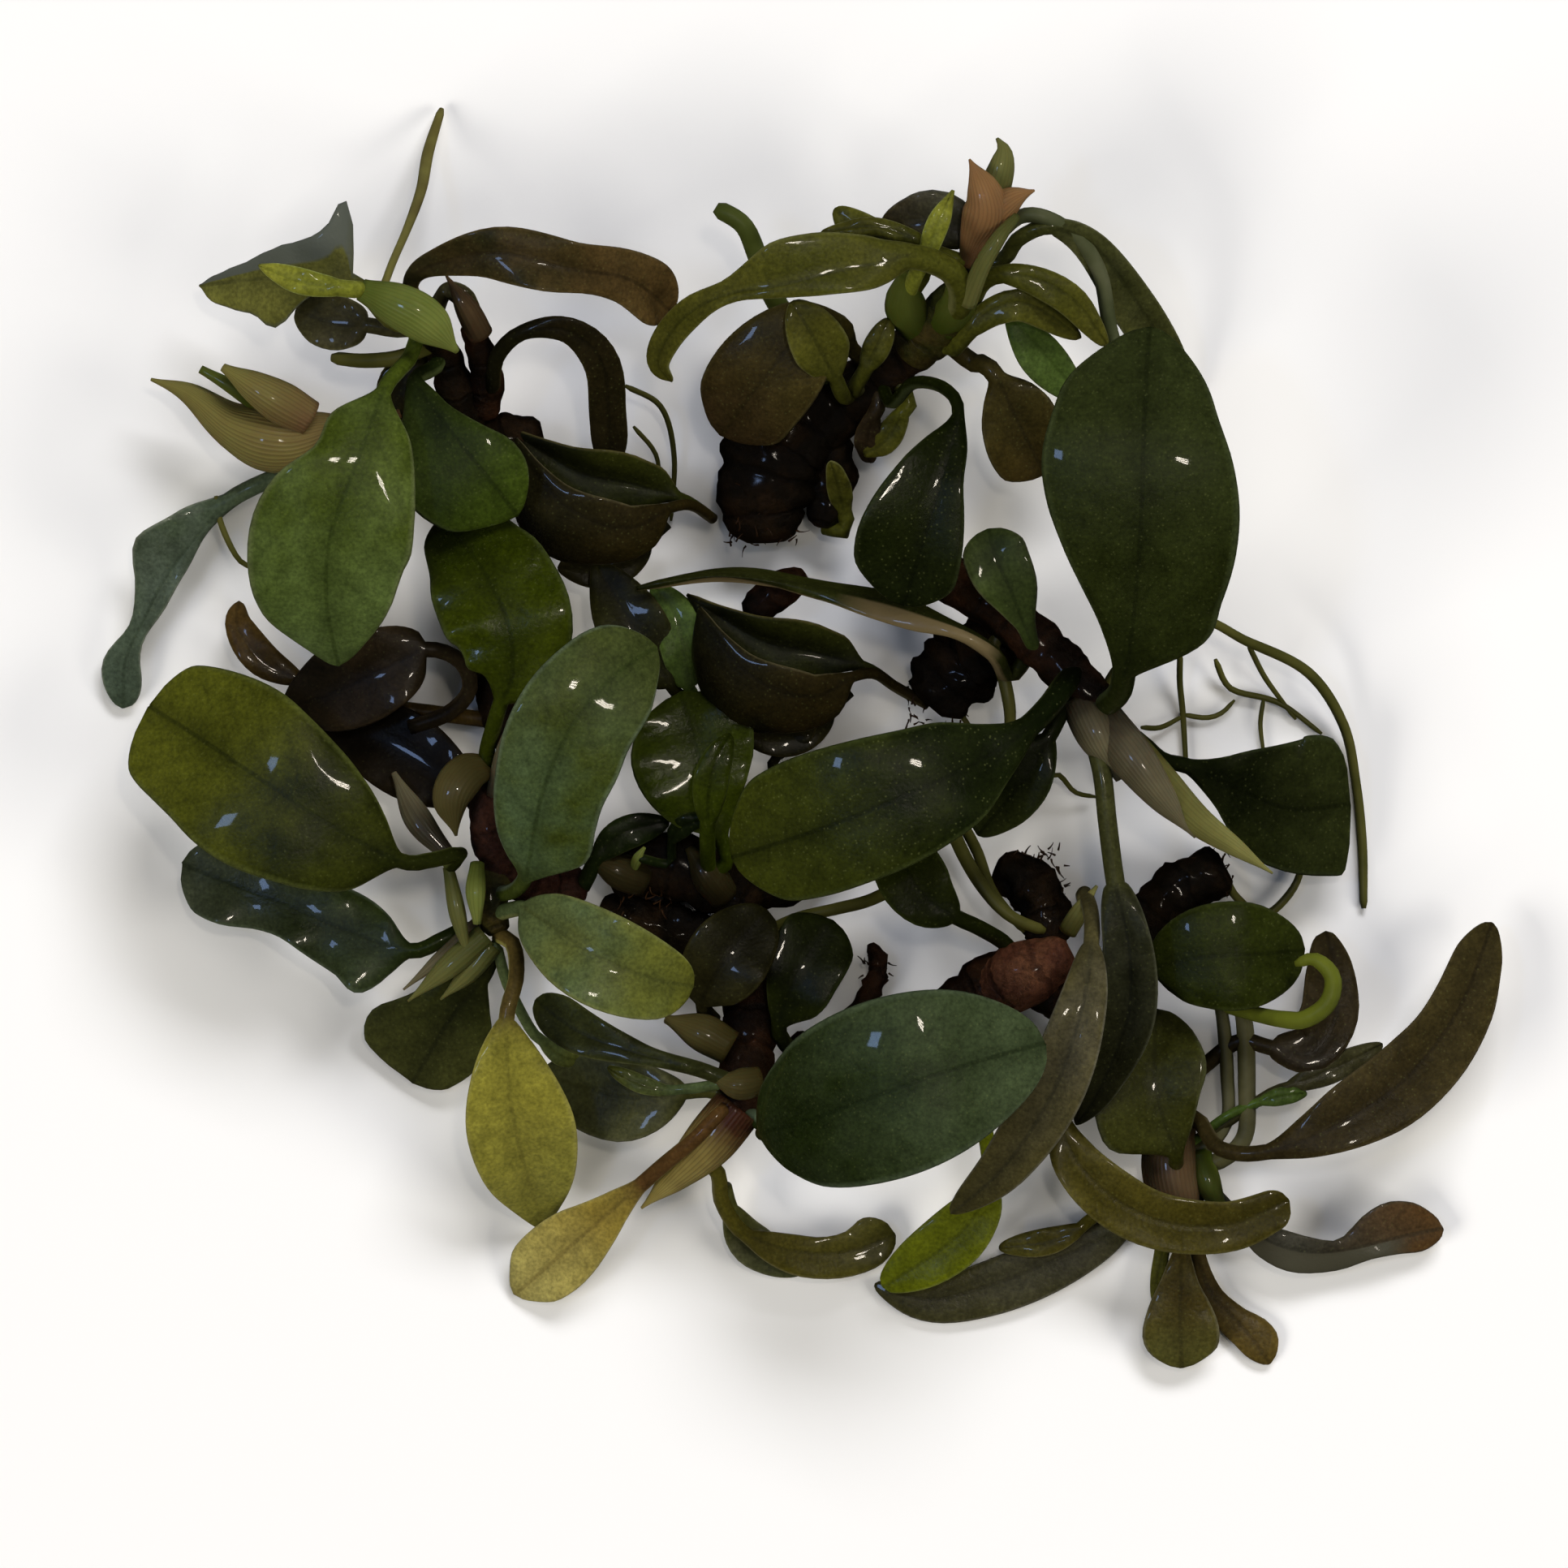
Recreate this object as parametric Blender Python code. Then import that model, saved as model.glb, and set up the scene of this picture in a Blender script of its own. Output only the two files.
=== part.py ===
"""A clump of bucephalandra as cut from its tank: creeping rhizomes, their crowns and their stalked leaves.

Places are given in millimetres on a sheet laid over the clump as seen from above: across from its left edge,
down from its top edge, and up from the floor that the clump lies on.
"""

import math

import bmesh
import bpy
from mathutils import Vector

MM = 0.001
SHEET_CENTRE = (49.425, 45.43)
STALK_RADIUS = 0.5
BLADE_HALF_THICKNESS = 0.3
TIP_RADIUS = 0.13
LEAF_SIDES = 8
STALK_RINGS = 2
TUBE_SIDES = 8
RHIZOME_FOOT = 0.0

for old in list(bpy.data.objects):
    bpy.data.objects.remove(old)

clump = bpy.data.collections.new("bucephalandra")
bpy.context.scene.collection.children.link(clump)

OLIVE = (0.045, 0.075, 0.012)
DARK_GREEN = (0.022, 0.045, 0.012)
BLUE_GREEN = (0.028, 0.065, 0.035)
LIME = (0.22, 0.30, 0.02)
BROWN = (0.055, 0.035, 0.014)
GREY_GREEN = (0.09, 0.11, 0.075)
RHIZOME_BROWN = (0.035, 0.018, 0.010)
PINK_SHEATH = (0.36, 0.20, 0.12)
ROOT_OLIVE = (0.14, 0.13, 0.04)


def on_sheet(place):
    """A place on the sheet as a point of the clump, in millimetres from the middle of its foot."""
    return Vector((place[0] - SHEET_CENTRE[0], SHEET_CENTRE[1] - place[1], place[2]))


def smooth_curve(places):
    """Closely spaced points on a smooth curve through the places, with each place's distance along it."""
    knots = [on_sheet(place) for place in places]
    ends = [2 * knots[0] - knots[1], *knots, 2 * knots[-1] - knots[-2]]
    curve = []
    marks = []
    for a, b, c, d in zip(ends, ends[1:], ends[2:], ends[3:]):
        marks.append(len(curve))
        for step in range(20):
            t = step / 20
            even = 2 * b + (2 * a - 5 * b + 4 * c - d) * t * t
            odd = (c - a) * t + (3 * b - a - 3 * c + d) * t**3
            curve.append((even + odd) / 2)
    marks.append(len(curve))
    curve.append(knots[-1])
    along = [0.0]
    for first, second in zip(curve, curve[1:]):
        along.append(along[-1] + (second - first).length)
    return curve, along, [along[mark] for mark in marks]


def point_at(curve, along, distance):
    """The point of the curve at a distance along it, with the curve's direction there."""
    index = 1
    while index < len(along) - 1 and along[index] < distance:
        index += 1
    before, after = along[index - 1], along[index]
    share = (distance - before) / max(after - before, 1e-9)
    point = curve[index - 1].lerp(curve[index], min(max(share, 0.0), 1.0))
    first = curve[max(index - 2, 0)]
    last = curve[min(index + 1, len(curve) - 1)]
    return point, (last - first).normalized()


def between(values, share):
    """The value at a share of the way through evenly spaced values, eased from each to the next."""
    place = min(max(share, 0.0), 1.0) * (len(values) - 1)
    index = min(int(place), len(values) - 2)
    ease = (1 - math.cos(math.pi * (place - index))) / 2
    return values[index] * (1 - ease) + values[index + 1] * ease


def ring_frames(curve, along, distances, middle):
    """A point, forward, up and right for each ring, turned as little as possible from the blade's middle."""
    frames = [None] * len(distances)
    start = min(range(len(distances)), key=lambda k: abs(distances[k] - middle))
    point, forward = point_at(curve, along, distances[start])
    up = Vector((0, 0, 1)) - forward * forward.z
    up.normalize()
    frames[start] = (point, forward, up)
    for order in (range(start + 1, len(distances)), range(start - 1, -1, -1)):
        carried = up
        for k in order:
            point, forward = point_at(curve, along, distances[k])
            carried = (carried - forward * carried.dot(forward)).normalized()
            frames[k] = (point, forward, carried)
    return [(point, forward, top, forward.cross(top)) for point, forward, top in frames]


def tube_mesh(name, sides, rings):
    """A closed tube of the given sides and rings, whose vertices keep their ring and angle in their place."""
    mesh = bpy.data.meshes.new(name)
    work = bmesh.new()
    bmesh.ops.create_cone(work, cap_ends=True, segments=sides, radius1=1, radius2=1, depth=rings - 1)
    long_edges = [edge for edge in work.edges if abs(edge.verts[0].co.z - edge.verts[1].co.z) > 0.5]
    bmesh.ops.subdivide_edges(work, edges=long_edges, cuts=rings - 2, use_grid_fill=True)
    bmesh.ops.reverse_faces(work, faces=work.faces)
    for vertex in work.verts:
        vertex.co.z += (rings - 1) / 2
    return mesh, work


def material_for(name, colour):
    material = bpy.data.materials.new(name)
    material.use_nodes = True
    shader = material.node_tree.nodes["Principled BSDF"]
    shader.inputs["Base Color"].default_value = (*colour, 1)
    shader.inputs["Roughness"].default_value = 0.3
    return material


def finish_node(name, mesh, work, colour):
    work.to_mesh(mesh)
    work.free()
    node = bpy.data.objects.new(name, mesh)
    node.data.materials.append(material_for(name, colour))
    clump.objects.link(node)
    return node


def oval(widest, base_power, tip_power, share):
    """A blade's width at a share of its length, as a share of its greatest width."""
    if share < widest:
        return math.sin(math.pi / 2 * share / widest) ** base_power
    return math.cos(math.pi / 2 * (share - widest) / (1 - widest)) ** tip_power


def leaf(name, places, blade, left, right, colour, widest=0.45, ends=(0.9, 0.6), blunt=0.8, roll=(0, 0),
         fold=(12, 12), curl=(0, 0), stalk=STALK_RADIUS, rings=6):
    """A stalked leaf along the places, whose blade starts at the numbered place.

    left and right are half widths: one number for an oval blade, or a list of them from the blade's base to its
    tip, which rounds off past the share blunt of its length. roll leans the face to its right, fold lifts each
    half from the midrib, and curl bends it on to its margin.
    """
    curve, along, marks = smooth_curve(places)
    base, length = marks[blade], along[-1]
    distances = [base * k / STALK_RINGS for k in range(STALK_RINGS)]
    for k in range(rings + 1):
        share = k / rings
        eased = share - 0.06 * math.sin(2 * math.pi * share)
        distances.append(base + (length - base) * eased)
    frames = ring_frames(curve, along, distances, base + 0.45 * (length - base))
    mesh, work = tube_mesh(name, LEAF_SIDES, len(distances))
    for vertex in work.verts:
        ring = round(vertex.co.z)
        across, through = vertex.co.x, vertex.co.y
        point, forward, up, side = frames[ring]
        share = (distances[ring] - base) / (length - base)
        flat = min(max(share / 0.22, 0.0), 1.0)
        flat = flat * flat * (3 - 2 * flat)
        half = left if across < 0 else right
        if share <= 0:
            width = stalk
        elif isinstance(half, (int, float)):
            least = stalk if share < widest else TIP_RADIUS
            width = least + (half - least) * oval(widest, ends[0], ends[1], min(share, 1.0))
        else:
            past = max(share - blunt, 0.0) / (1 - blunt)
            width = between([stalk, *half], share) * math.sqrt(max(1 - past * past, 0.0))
            width = max(width, TIP_RADIUS)
        thick = stalk * (1 - flat) + BLADE_HALF_THICKNESS * flat
        if share > 0.9:
            thick += (TIP_RADIUS - thick) * (share - 0.9) / 0.1
        lean = math.radians(between(roll, share))
        top = up * math.cos(lean) + side * math.sin(lean)
        out = side * math.cos(lean) - up * math.sin(lean)
        which = 0 if across < 0 else 1
        reach = abs(across) * width
        slope = math.radians(fold[which]) * flat
        bend = math.radians(curl[which]) * flat * abs(across)
        turned = slope + bend / 2
        final = slope + bend
        sign = -1 if across < 0 else 1
        lateral = reach * math.cos(turned)
        height = reach * math.sin(turned)
        place = point + out * (sign * lateral) + top * height
        normal = top * math.cos(final) - out * (sign * math.sin(final))
        vertex.co = (place + normal * (through * thick)) * MM
    return finish_node(name, mesh, work, colour)


def tube(name, places, radii, colour, sides=TUBE_SIDES, rings=8, knobs=0.0, flatten=1.0):
    """A round stem along the places, whose radius passes through the radii, with swollen nodes of knobs."""
    curve, along, marks = smooth_curve(places)
    distances = [along[-1] * k / (rings - 1) for k in range(rings)]
    frames = ring_frames(curve, along, distances, along[-1] / 2)
    mesh, work = tube_mesh(name, sides, rings)
    for vertex in work.verts:
        ring = round(vertex.co.z)
        point, forward, up, side = frames[ring]
        radius = between(radii, ring / (rings - 1))
        radius *= 1 + knobs * (-1) ** ring
        vertex.co = (point + side * vertex.co.x * radius + up * vertex.co.y * radius * flatten) * MM
    return finish_node(name, mesh, work, colour)


def joined(node, *others):
    """Grows the other stems out of the node as one solid with it."""
    for other in others:
        other.hide_render = True
        other.hide_viewport = True
        union = node.modifiers.new(other.name, "BOOLEAN")
        union.operation = "UNION"
        union.solver = "EXACT"
        union.object = other
    return node


def flattened(node, floor, tall=20.0, wide=120.0):
    """Cuts the node flat at the floor height."""
    mesh = bpy.data.meshes.new(node.name + "_ground")
    work = bmesh.new()
    bmesh.ops.create_cube(work, size=1)
    for vertex in work.verts:
        vertex.co.x *= wide * MM
        vertex.co.y *= wide * MM
        vertex.co.z = (floor + tall * (vertex.co.z - 0.5)) * MM
    ground = finish_node(node.name + "_ground", mesh, work, RHIZOME_BROWN)
    ground.hide_render = True
    ground.hide_viewport = True
    cut = node.modifiers.new("flat", "BOOLEAN")
    cut.operation = "DIFFERENCE"
    cut.solver = "EXACT"
    cut.object = ground
    return node


# Rhizomes: the old creeping stem under the middle, and the branches that run from it to each crown. Their
# blunt ends are old cuts.
hub = tube("rhizome_hub", [(37.5, 54.2, 2.0), (40.5, 53.2, 2.1), (44.0, 54.2, 2.1), (46.8, 56.0, 2.0)],
           [1.9, 2.4, 2.5, 2.2], RHIZOME_BROWN, rings=6, knobs=0.04)
hub_link = tube("hub_link", [(45.6, 54.6, 2.4), (48.4, 54.4, 2.2), (51.6, 52.0, 2.0), (54.8, 48.2, 2.0),
                             (56.6, 45.8, 2.2)],
                [1.6, 1.6, 1.4, 1.4, 1.6], RHIZOME_BROWN, rings=6, knobs=0.05)
joined(hub, hub_link)
flattened(hub, RHIZOME_FOOT)

west = tube("rhizome_west", [(36.0, 54.6, 2.6), (33.5, 54.6, 3.2), (31.3, 53.6, 5.2), (30.2, 51.2, 6.4),
                             (29.9, 48.0, 6.0)],
            [1.5, 1.5, 1.5, 1.4, 1.0], RHIZOME_BROWN, rings=8, knobs=0.05)
west_foot = tube("west_foot", [(30.9, 53.4, 5.4), (30.2, 55.2, 6.0), (30.6, 57.6, 6.2)], [1.3, 1.2, 0.9],
                 RHIZOME_BROWN, rings=4)
west_spear = tube("west_spear", [(29.8, 49.6, 6.6), (28.9, 49.6, 7.4), (28.2, 51.3, 7.6)], [0.9, 0.8, 0.2],
                  RHIZOME_BROWN, sides=6, rings=4)
west_low_spear = tube("west_low_spear", [(30.0, 57.2, 6.2), (27.8, 59.2, 5.8), (25.2, 61.6, 6.1)],
                      [0.9, 0.7, 0.15], RHIZOME_BROWN, sides=6, rings=4)
joined(west, west_foot, west_spear, west_low_spear)

northwest = tube("rhizome_northwest", [(31.4, 46.0, 3.0), (30.2, 41.0, 2.2), (29.4, 33.0, 2.6),
                                       (28.8, 27.0, 4.0), (27.6, 22.6, 6.0), (26.6, 20.6, 8.0)],
                 [1.4, 1.6, 1.7, 1.8, 1.6, 1.1], RHIZOME_BROWN, rings=11, knobs=0.05)
northwest_knob = tube("northwest_knob", [(29.2, 27.0, 3.8), (32.4, 26.2, 4.2), (33.9, 24.0, 4.6),
                                         (33.9, 21.4, 4.8)],
                      [1.6, 1.9, 2.0, 1.6], RHIZOME_BROWN, rings=5)
joined(northwest, northwest_knob)

north = tube("rhizome_north", [(47.2, 33.3, 2.4), (47.1, 30.2, 2.8), (48.4, 27.0, 3.0), (51.7, 24.7, 3.8),
                               (54.6, 22.6, 4.8), (57.4, 20.4, 6.0), (59.2, 18.2, 7.2), (60.0, 16.6, 8.0)],
             [2.3, 3.3, 3.6, 2.5, 1.8, 1.7, 1.7, 1.2], RHIZOME_BROWN, rings=11, knobs=0.04, flatten=0.75)

east = tube("rhizome_east", [(55.6, 26.6, 2.6), (56.2, 31.0, 3.0), (57.6, 34.8, 5.4), (61.4, 37.4, 7.2),
                             (65.4, 41.0, 8.4), (67.9, 43.8, 8.8)],
            [1.3, 1.5, 1.7, 1.7, 1.7, 1.5], RHIZOME_BROWN, rings=11, knobs=0.05)
east_stump = tube("east_stump", [(62.6, 39.0, 6.4), (60.4, 40.2, 3.4), (58.6, 41.8, 2.7), (57.4, 43.9, 2.6)],
                  [1.4, 2.2, 2.5, 2.2], RHIZOME_BROWN, rings=5)
east_sheath = tube("east_sheath", [(66.6, 42.6, 8.8), (67.2, 45.4, 9.4), (68.0, 47.9, 9.6)], [1.4, 1.5, 0.95],
                   PINK_SHEATH, rings=4)
joined(east, east_stump, east_sheath)

south = tube("rhizome_south", [(45.2, 58.6, 2.4), (46.2, 62.0, 3.2), (45.9, 66.0, 5.0), (45.2, 69.0, 6.2),
                               (43.9, 70.9, 6.4)],
             [1.7, 1.9, 1.9, 1.8, 1.2], RHIZOME_BROWN, rings=8, knobs=0.05)

southeast = tube("rhizome_southeast", [(48.6, 64.6, 1.9), (53.4, 65.4, 1.8), (58.0, 63.0, 2.6),
                                       (62.2, 60.3, 3.8), (65.0, 61.0, 3.8), (67.6, 63.8, 2.4),
                                       (70.6, 67.6, 1.9), (73.0, 71.4, 2.1)],
                 [1.3, 1.4, 1.6, 2.2, 2.0, 1.6, 1.5, 1.4], RHIZOME_BROWN, rings=13, knobs=0.04)
southeast_stump = tube("southeast_stump", [(63.4, 59.6, 3.6), (64.2, 56.6, 3.0), (64.4, 53.0, 2.8)],
                       [1.8, 2.1, 1.9], RHIZOME_BROWN, rings=5)
southeast_chunk = tube("southeast_chunk", [(68.4, 64.4, 2.2), (70.2, 59.0, 1.9), (72.0, 55.4, 2.0),
                                           (75.6, 53.4, 2.1)],
                       [1.3, 1.4, 1.9, 1.9], RHIZOME_BROWN, rings=6)
joined(southeast, southeast_stump, southeast_chunk)

# Buds and spears: leaves still rolled in their sheaths at the crowns.
tube("bud_northwest", [(22.3, 17.9, 11.0), (24.2, 18.7, 11.4), (26.2, 19.8, 11.4), (28.0, 21.4, 10.4)],
     [0.7, 1.5, 1.5, 0.3], LIME, rings=6, flatten=0.75)
leaf("spear_lime", [(21.9, 17.9, 11.4), (20.9, 17.8, 11.6), (18.6, 17.4, 11.6), (16.0, 16.4, 10.8)],
     1, 0.85, 0.85, LIME, ends=(0.9, 0.9), stalk=0.55, rings=5)
bulb = tube("bud_west_bulb", [(26.1, 24.6, 5.0), (23.0, 24.2, 5.6), (20.0, 25.4, 5.6), (17.6, 27.1, 5.2),
                              (14.4, 26.2, 4.8), (11.6, 24.2, 4.4), (9.2, 23.3, 4.0)],
            [0.9, 1.1, 1.6, 2.4, 1.5, 0.8, 0.2], PINK_SHEATH, rings=10)
bulb_spear = tube("bulb_spear", [(19.0, 26.0, 6.2), (16.6, 24.4, 6.8), (13.9, 22.8, 6.8)], [1.2, 0.9, 0.4],
                  PINK_SHEATH, sides=7, rings=4)
joined(bulb, bulb_spear)
sheath = tube("sheath_north", [(60.3, 16.0, 9.6), (60.4, 14.0, 10.4), (61.0, 11.6, 10.8), (61.5, 8.6, 10.6)],
              [0.7, 1.1, 1.3, 0.3], PINK_SHEATH, rings=6)
sheath_left = tube("sheath_left", [(60.6, 13.0, 10.8), (60.2, 11.4, 11.2), (59.8, 10.0, 11.2)],
                   [1.0, 0.7, 0.15], PINK_SHEATH, sides=6, rings=4)
sheath_right = tube("sheath_right", [(61.2, 13.4, 10.6), (62.2, 12.6, 10.9), (63.5, 11.9, 10.9)],
                    [1.0, 0.7, 0.15], PINK_SHEATH, sides=6, rings=4)
joined(sheath, sheath_left, sheath_right)
tube("spear_east", [(69.9, 46.5, 9.9), (71.0, 47.9, 10.1), (73.3, 49.9, 9.7), (75.9, 51.9, 8.7),
                    (78.3, 53.9, 7.5)],
     [0.9, 1.45, 1.2, 0.8, 0.15], PINK_SHEATH, rings=7)

# Roots and shoots: one thin shoot off the northwest crown and one long root round the east side.
tube("shoot_north", [(24.0, 16.2, 9.0), (25.0, 14.2, 7.4), (25.9, 11.6, 4.6), (26.3, 9.2, 2.2),
                     (27.1, 6.5, 0.45)],
     [0.3, 0.36, 0.4, 0.38, 0.3], ROOT_OLIVE, sides=6, rings=8)
tube("root_arc", [(73.6, 38.2, 6.0), (76.9, 39.5, 4.6), (80.7, 41.4, 2.8), (82.9, 44.6, 1.3), (83.7, 48.2, 0.6),
                  (84.1, 52.0, 0.4), (84.2, 56.0, 0.36)],
     [0.3, 0.36, 0.36, 0.36, 0.34, 0.34, 0.3], ROOT_OLIVE, sides=6, rings=11)

# Leaves of the northwest crown.
leaf("leaf_nw_large", [(25.3, 22.0, 9.6), (24.5, 23.0, 11.2), (23.7, 24.2, 12.4), (22.1, 28.4, 13.6),
                       (20.4, 33.2, 13.2), (20.2, 37.2, 11.4), (20.9, 40.9, 8.6)],
     2, [2.4, 4.3, 5.2, 4.8, 3.6], [2.8, 2.9, 4.4, 4.9, 3.8], OLIVE, fold=(8, 8), curl=(-16, -14), rings=8)
leaf("leaf_nw_round", [(27.1, 23.9, 8.0), (27.0, 24.9, 9.4), (28.0, 27.0, 10.6), (29.6, 29.2, 10.8),
                       (31.3, 31.6, 9.6)],
     1, 2.9, 3.3, DARK_GREEN, ends=(0.8, 0.45))
leaf("leaf_nw_flared", [(24.2, 19.9, 8.0), (22.8, 18.4, 8.6), (21.2, 17.2, 9.0), (17.0, 16.8, 7.8),
                        (12.2, 17.4, 3.6)],
     1, [1.2, 2.2, 2.6, 1.6], [4.5, 2.0, 1.3, 0.8], GREY_GREEN, roll=(-16, -10, 0), fold=(4, 14), rings=7)
leaf("leaf_nw_arching", [(27.0, 18.9, 8.6), (26.2, 17.4, 9.8), (27.6, 15.9, 11.4), (31.5, 15.4, 13.0),
                         (35.5, 16.2, 12.6), (38.9, 17.6, 11.0), (41.6, 19.8, 8.2)],
     2, [1.2, 1.5, 2.0, 2.0], [1.3, 1.6, 2.2, 1.8], BROWN, roll=(20, 0, 0), fold=(14, 14), rings=8)
leaf("leaf_nw_hook", [(30.3, 24.0, 6.2), (30.6, 22.0, 7.6), (32.2, 20.5, 8.8), (35.2, 20.2, 9.2),
                      (37.2, 22.2, 8.4), (37.4, 24.8, 6.6), (37.8, 28.0, 4.4)],
     2, 1.3, 1.3, DARK_GREEN, ends=(0.5, 0.5), rings=7)
leaf("leaf_nw_twisted", [(15.6, 29.7, 3.4), (14.0, 30.8, 3.4), (12.4, 32.4, 3.2), (10.4, 35.0, 2.5),
                         (8.9, 37.9, 1.9), (7.6, 40.6, 1.1), (7.4, 43.6, 0.5)],
     1, [0.5, 0.9, 1.0, 0.6, 1.2, 1.6], [2.0, 3.0, 1.6, 0.7, 1.6, 1.6], BLUE_GREEN, roll=(0, -10, 20, 10, 0),
     stalk=0.6, rings=8)

# Leaves of the west crown.
leaf("leaf_west_glossy", [(31.4, 48.2, 7.2), (31.5, 46.0, 9.0), (32.6, 43.3, 10.2), (31.6, 38.8, 10.8),
                          (29.8, 35.2, 9.8), (27.2, 31.8, 7.6)],
     2, 3.9, 4.0, DARK_GREEN, ends=(0.6, 0.45), fold=(6, 6), curl=(-12, -12), rings=7)
leaf("leaf_west_glaucous", [(31.6, 54.9, 7.6), (32.4, 54.0, 9.6), (32.8, 52.4, 11.2), (33.6, 48.6, 13.4),
                            (35.4, 44.6, 14.4), (38.0, 41.6, 14.0), (40.4, 39.9, 12.6)],
     1, [2.2, 3.4, 3.7, 3.5, 2.8], [3.6, 3.9, 3.9, 3.4, 2.6], BLUE_GREEN, fold=(8, 8), curl=(-14, -14), rings=8)
leaf("leaf_west_broad", [(28.3, 52.6, 7.6), (26.5, 52.9, 8.6), (24.4, 52.6, 9.4), (20.0, 50.6, 10.6),
                         (15.6, 48.0, 10.2), (11.6, 46.2, 7.6), (7.5, 45.8, 3.2)],
     2, 4.9, 5.9, OLIVE, widest=0.5, ends=(0.75, 0.5), fold=(6, 6), curl=(-12, -12), rings=7)
leaf("leaf_west_olive", [(31.7, 56.0, 7.7), (32.4, 56.0, 9.2), (33.6, 56.8, 10.4), (36.6, 58.8, 11.6),
                         (39.8, 60.2, 11.4), (42.7, 60.8, 9.4)],
     1, 3.0, 3.1, LIME, widest=0.5, ends=(0.6, 0.5), rings=7)
leaf("leaf_west_lime", [(31.6, 58.2, 6.9), (31.8, 60.2, 7.8), (31.2, 62.8, 8.2), (31.3, 67.2, 7.4),
                        (32.1, 71.4, 4.8), (33.4, 75.8, 0.6)],
     2, 3.9, 3.1, LIME, widest=0.45, ends=(0.9, 0.8), rings=7)
leaf("leaf_west_wavy", [(28.7, 57.2, 4.4), (27.2, 57.7, 4.9), (24.8, 58.6, 4.9), (20.4, 57.0, 4.4),
                        (15.8, 55.4, 3.6), (11.2, 52.4, 2.0)],
     1, [2.2, 3.6, 2.2, 1.9, 2.6], [1.2, 2.2, 2.6, 3.0, 2.4], BLUE_GREEN, fold=(8, 2), rings=7)
leaf("leaf_west_low", [(30.0, 59.0, 4.6), (29.0, 60.6, 3.6), (27.6, 63.2, 2.4), (26.0, 66.9, 0.7)],
     1, [2.0, 3.0, 3.3, 3.0], [2.6, 3.8, 4.2, 3.8], OLIVE, fold=(6, 6))

# Leaves over the middle.
leaf("leaf_mid_folded", [(43.9, 31.9, 3.4), (43.0, 31.0, 5.6), (41.7, 30.3, 7.0), (38.0, 30.6, 8.2),
                         (34.6, 29.2, 8.0), (31.4, 26.8, 6.5)],
     2, 3.4, 3.6, DARK_GREEN, ends=(0.5, 0.8), roll=(-14, -14), fold=(18, 26))
leaf("leaf_mid_folded_b", [(55.2, 42.3, 3.5), (54.4, 41.4, 5.6), (53.1, 40.8, 6.8), (49.2, 41.5, 8.0),
                           (46.0, 40.2, 7.8), (43.4, 38.0, 6.4)],
     2, 3.5, 3.6, DARK_GREEN, ends=(0.5, 0.8), roll=(-14, -14), fold=(18, 26))
leaf("leaf_mid_glossy", [(41.4, 52.2, 5.4), (41.2, 50.9, 6.2), (41.9, 47.6, 6.8), (41.6, 43.0, 5.8)],
     1, 3.3, 3.6, DARK_GREEN, ends=(0.7, 0.45), fold=(6, 6))
leaf("leaf_mid_brown", [(42.3, 43.6, 3.4), (41.3, 42.2, 4.6), (38.9, 38.8, 5.4), (36.0, 35.4, 4.8)],
     1, 2.1, 2.1, BROWN, ends=(0.7, 0.5))

# Leaves of the south crown.
leaf("leaf_south_pale", [(43.6, 67.2, 4.6), (42.2, 67.3, 4.6), (38.2, 67.6, 3.6), (33.4, 66.2, 2.0)],
     1, 2.9, 2.5, GREY_GREEN, ends=(0.8, 0.5), fold=(6, 6))
leaf("leaf_south_narrow", [(43.4, 66.0, 7.0), (42.4, 65.7, 7.4), (39.0, 64.7, 7.2), (35.8, 63.2, 6.4),
                           (33.2, 60.6, 5.4)],
     1, 1.2, 1.2, DARK_GREEN, ends=(0.6, 0.6), fold=(20, 20))
leaf("leaf_south_amber", [(42.2, 71.5, 5.6), (40.4, 72.2, 5.0), (38.8, 73.4, 4.2), (35.8, 76.2, 2.4),
                          (33.2, 78.5, 1.0), (31.6, 79.9, 0.35)],
     2, 2.3, 2.3, LIME, widest=0.55, ends=(0.8, 0.5))
leaf("leaf_south_brown", [(44.0, 63.0, 4.6), (43.3, 61.8, 6.0), (44.7, 59.2, 7.0), (47.3, 56.1, 6.2)],
     1, 2.7, 2.7, BROWN, ends=(0.6, 0.5))
leaf("leaf_south_dark", [(48.7, 63.6, 3.9), (48.6, 62.6, 5.2), (49.6, 60.2, 6.2), (51.6, 57.0, 5.4)],
     1, 2.6, 2.7, DARK_GREEN, ends=(0.6, 0.5))
leaf("leaf_south_large", [(47.5, 69.7, 6.6), (47.1, 69.7, 8.9), (50.0, 68.9, 12.6), (54.4, 67.3, 14.8),
                          (59.0, 65.7, 14.8), (64.3, 64.2, 12.8)],
     1, 5.8, 5.4, BLUE_GREEN, widest=0.5, ends=(0.5, 0.5), fold=(5, 5), curl=(-14, -14), rings=8)
leaf("leaf_south_low", [(44.2, 72.5, 5.0), (44.2, 73.8, 3.8), (46.0, 75.9, 2.4), (49.6, 77.3, 1.4),
                        (53.0, 76.9, 1.0), (55.2, 75.8, 0.9)],
     2, 1.7, 1.5, OLIVE, ends=(0.7, 0.4))

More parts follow.
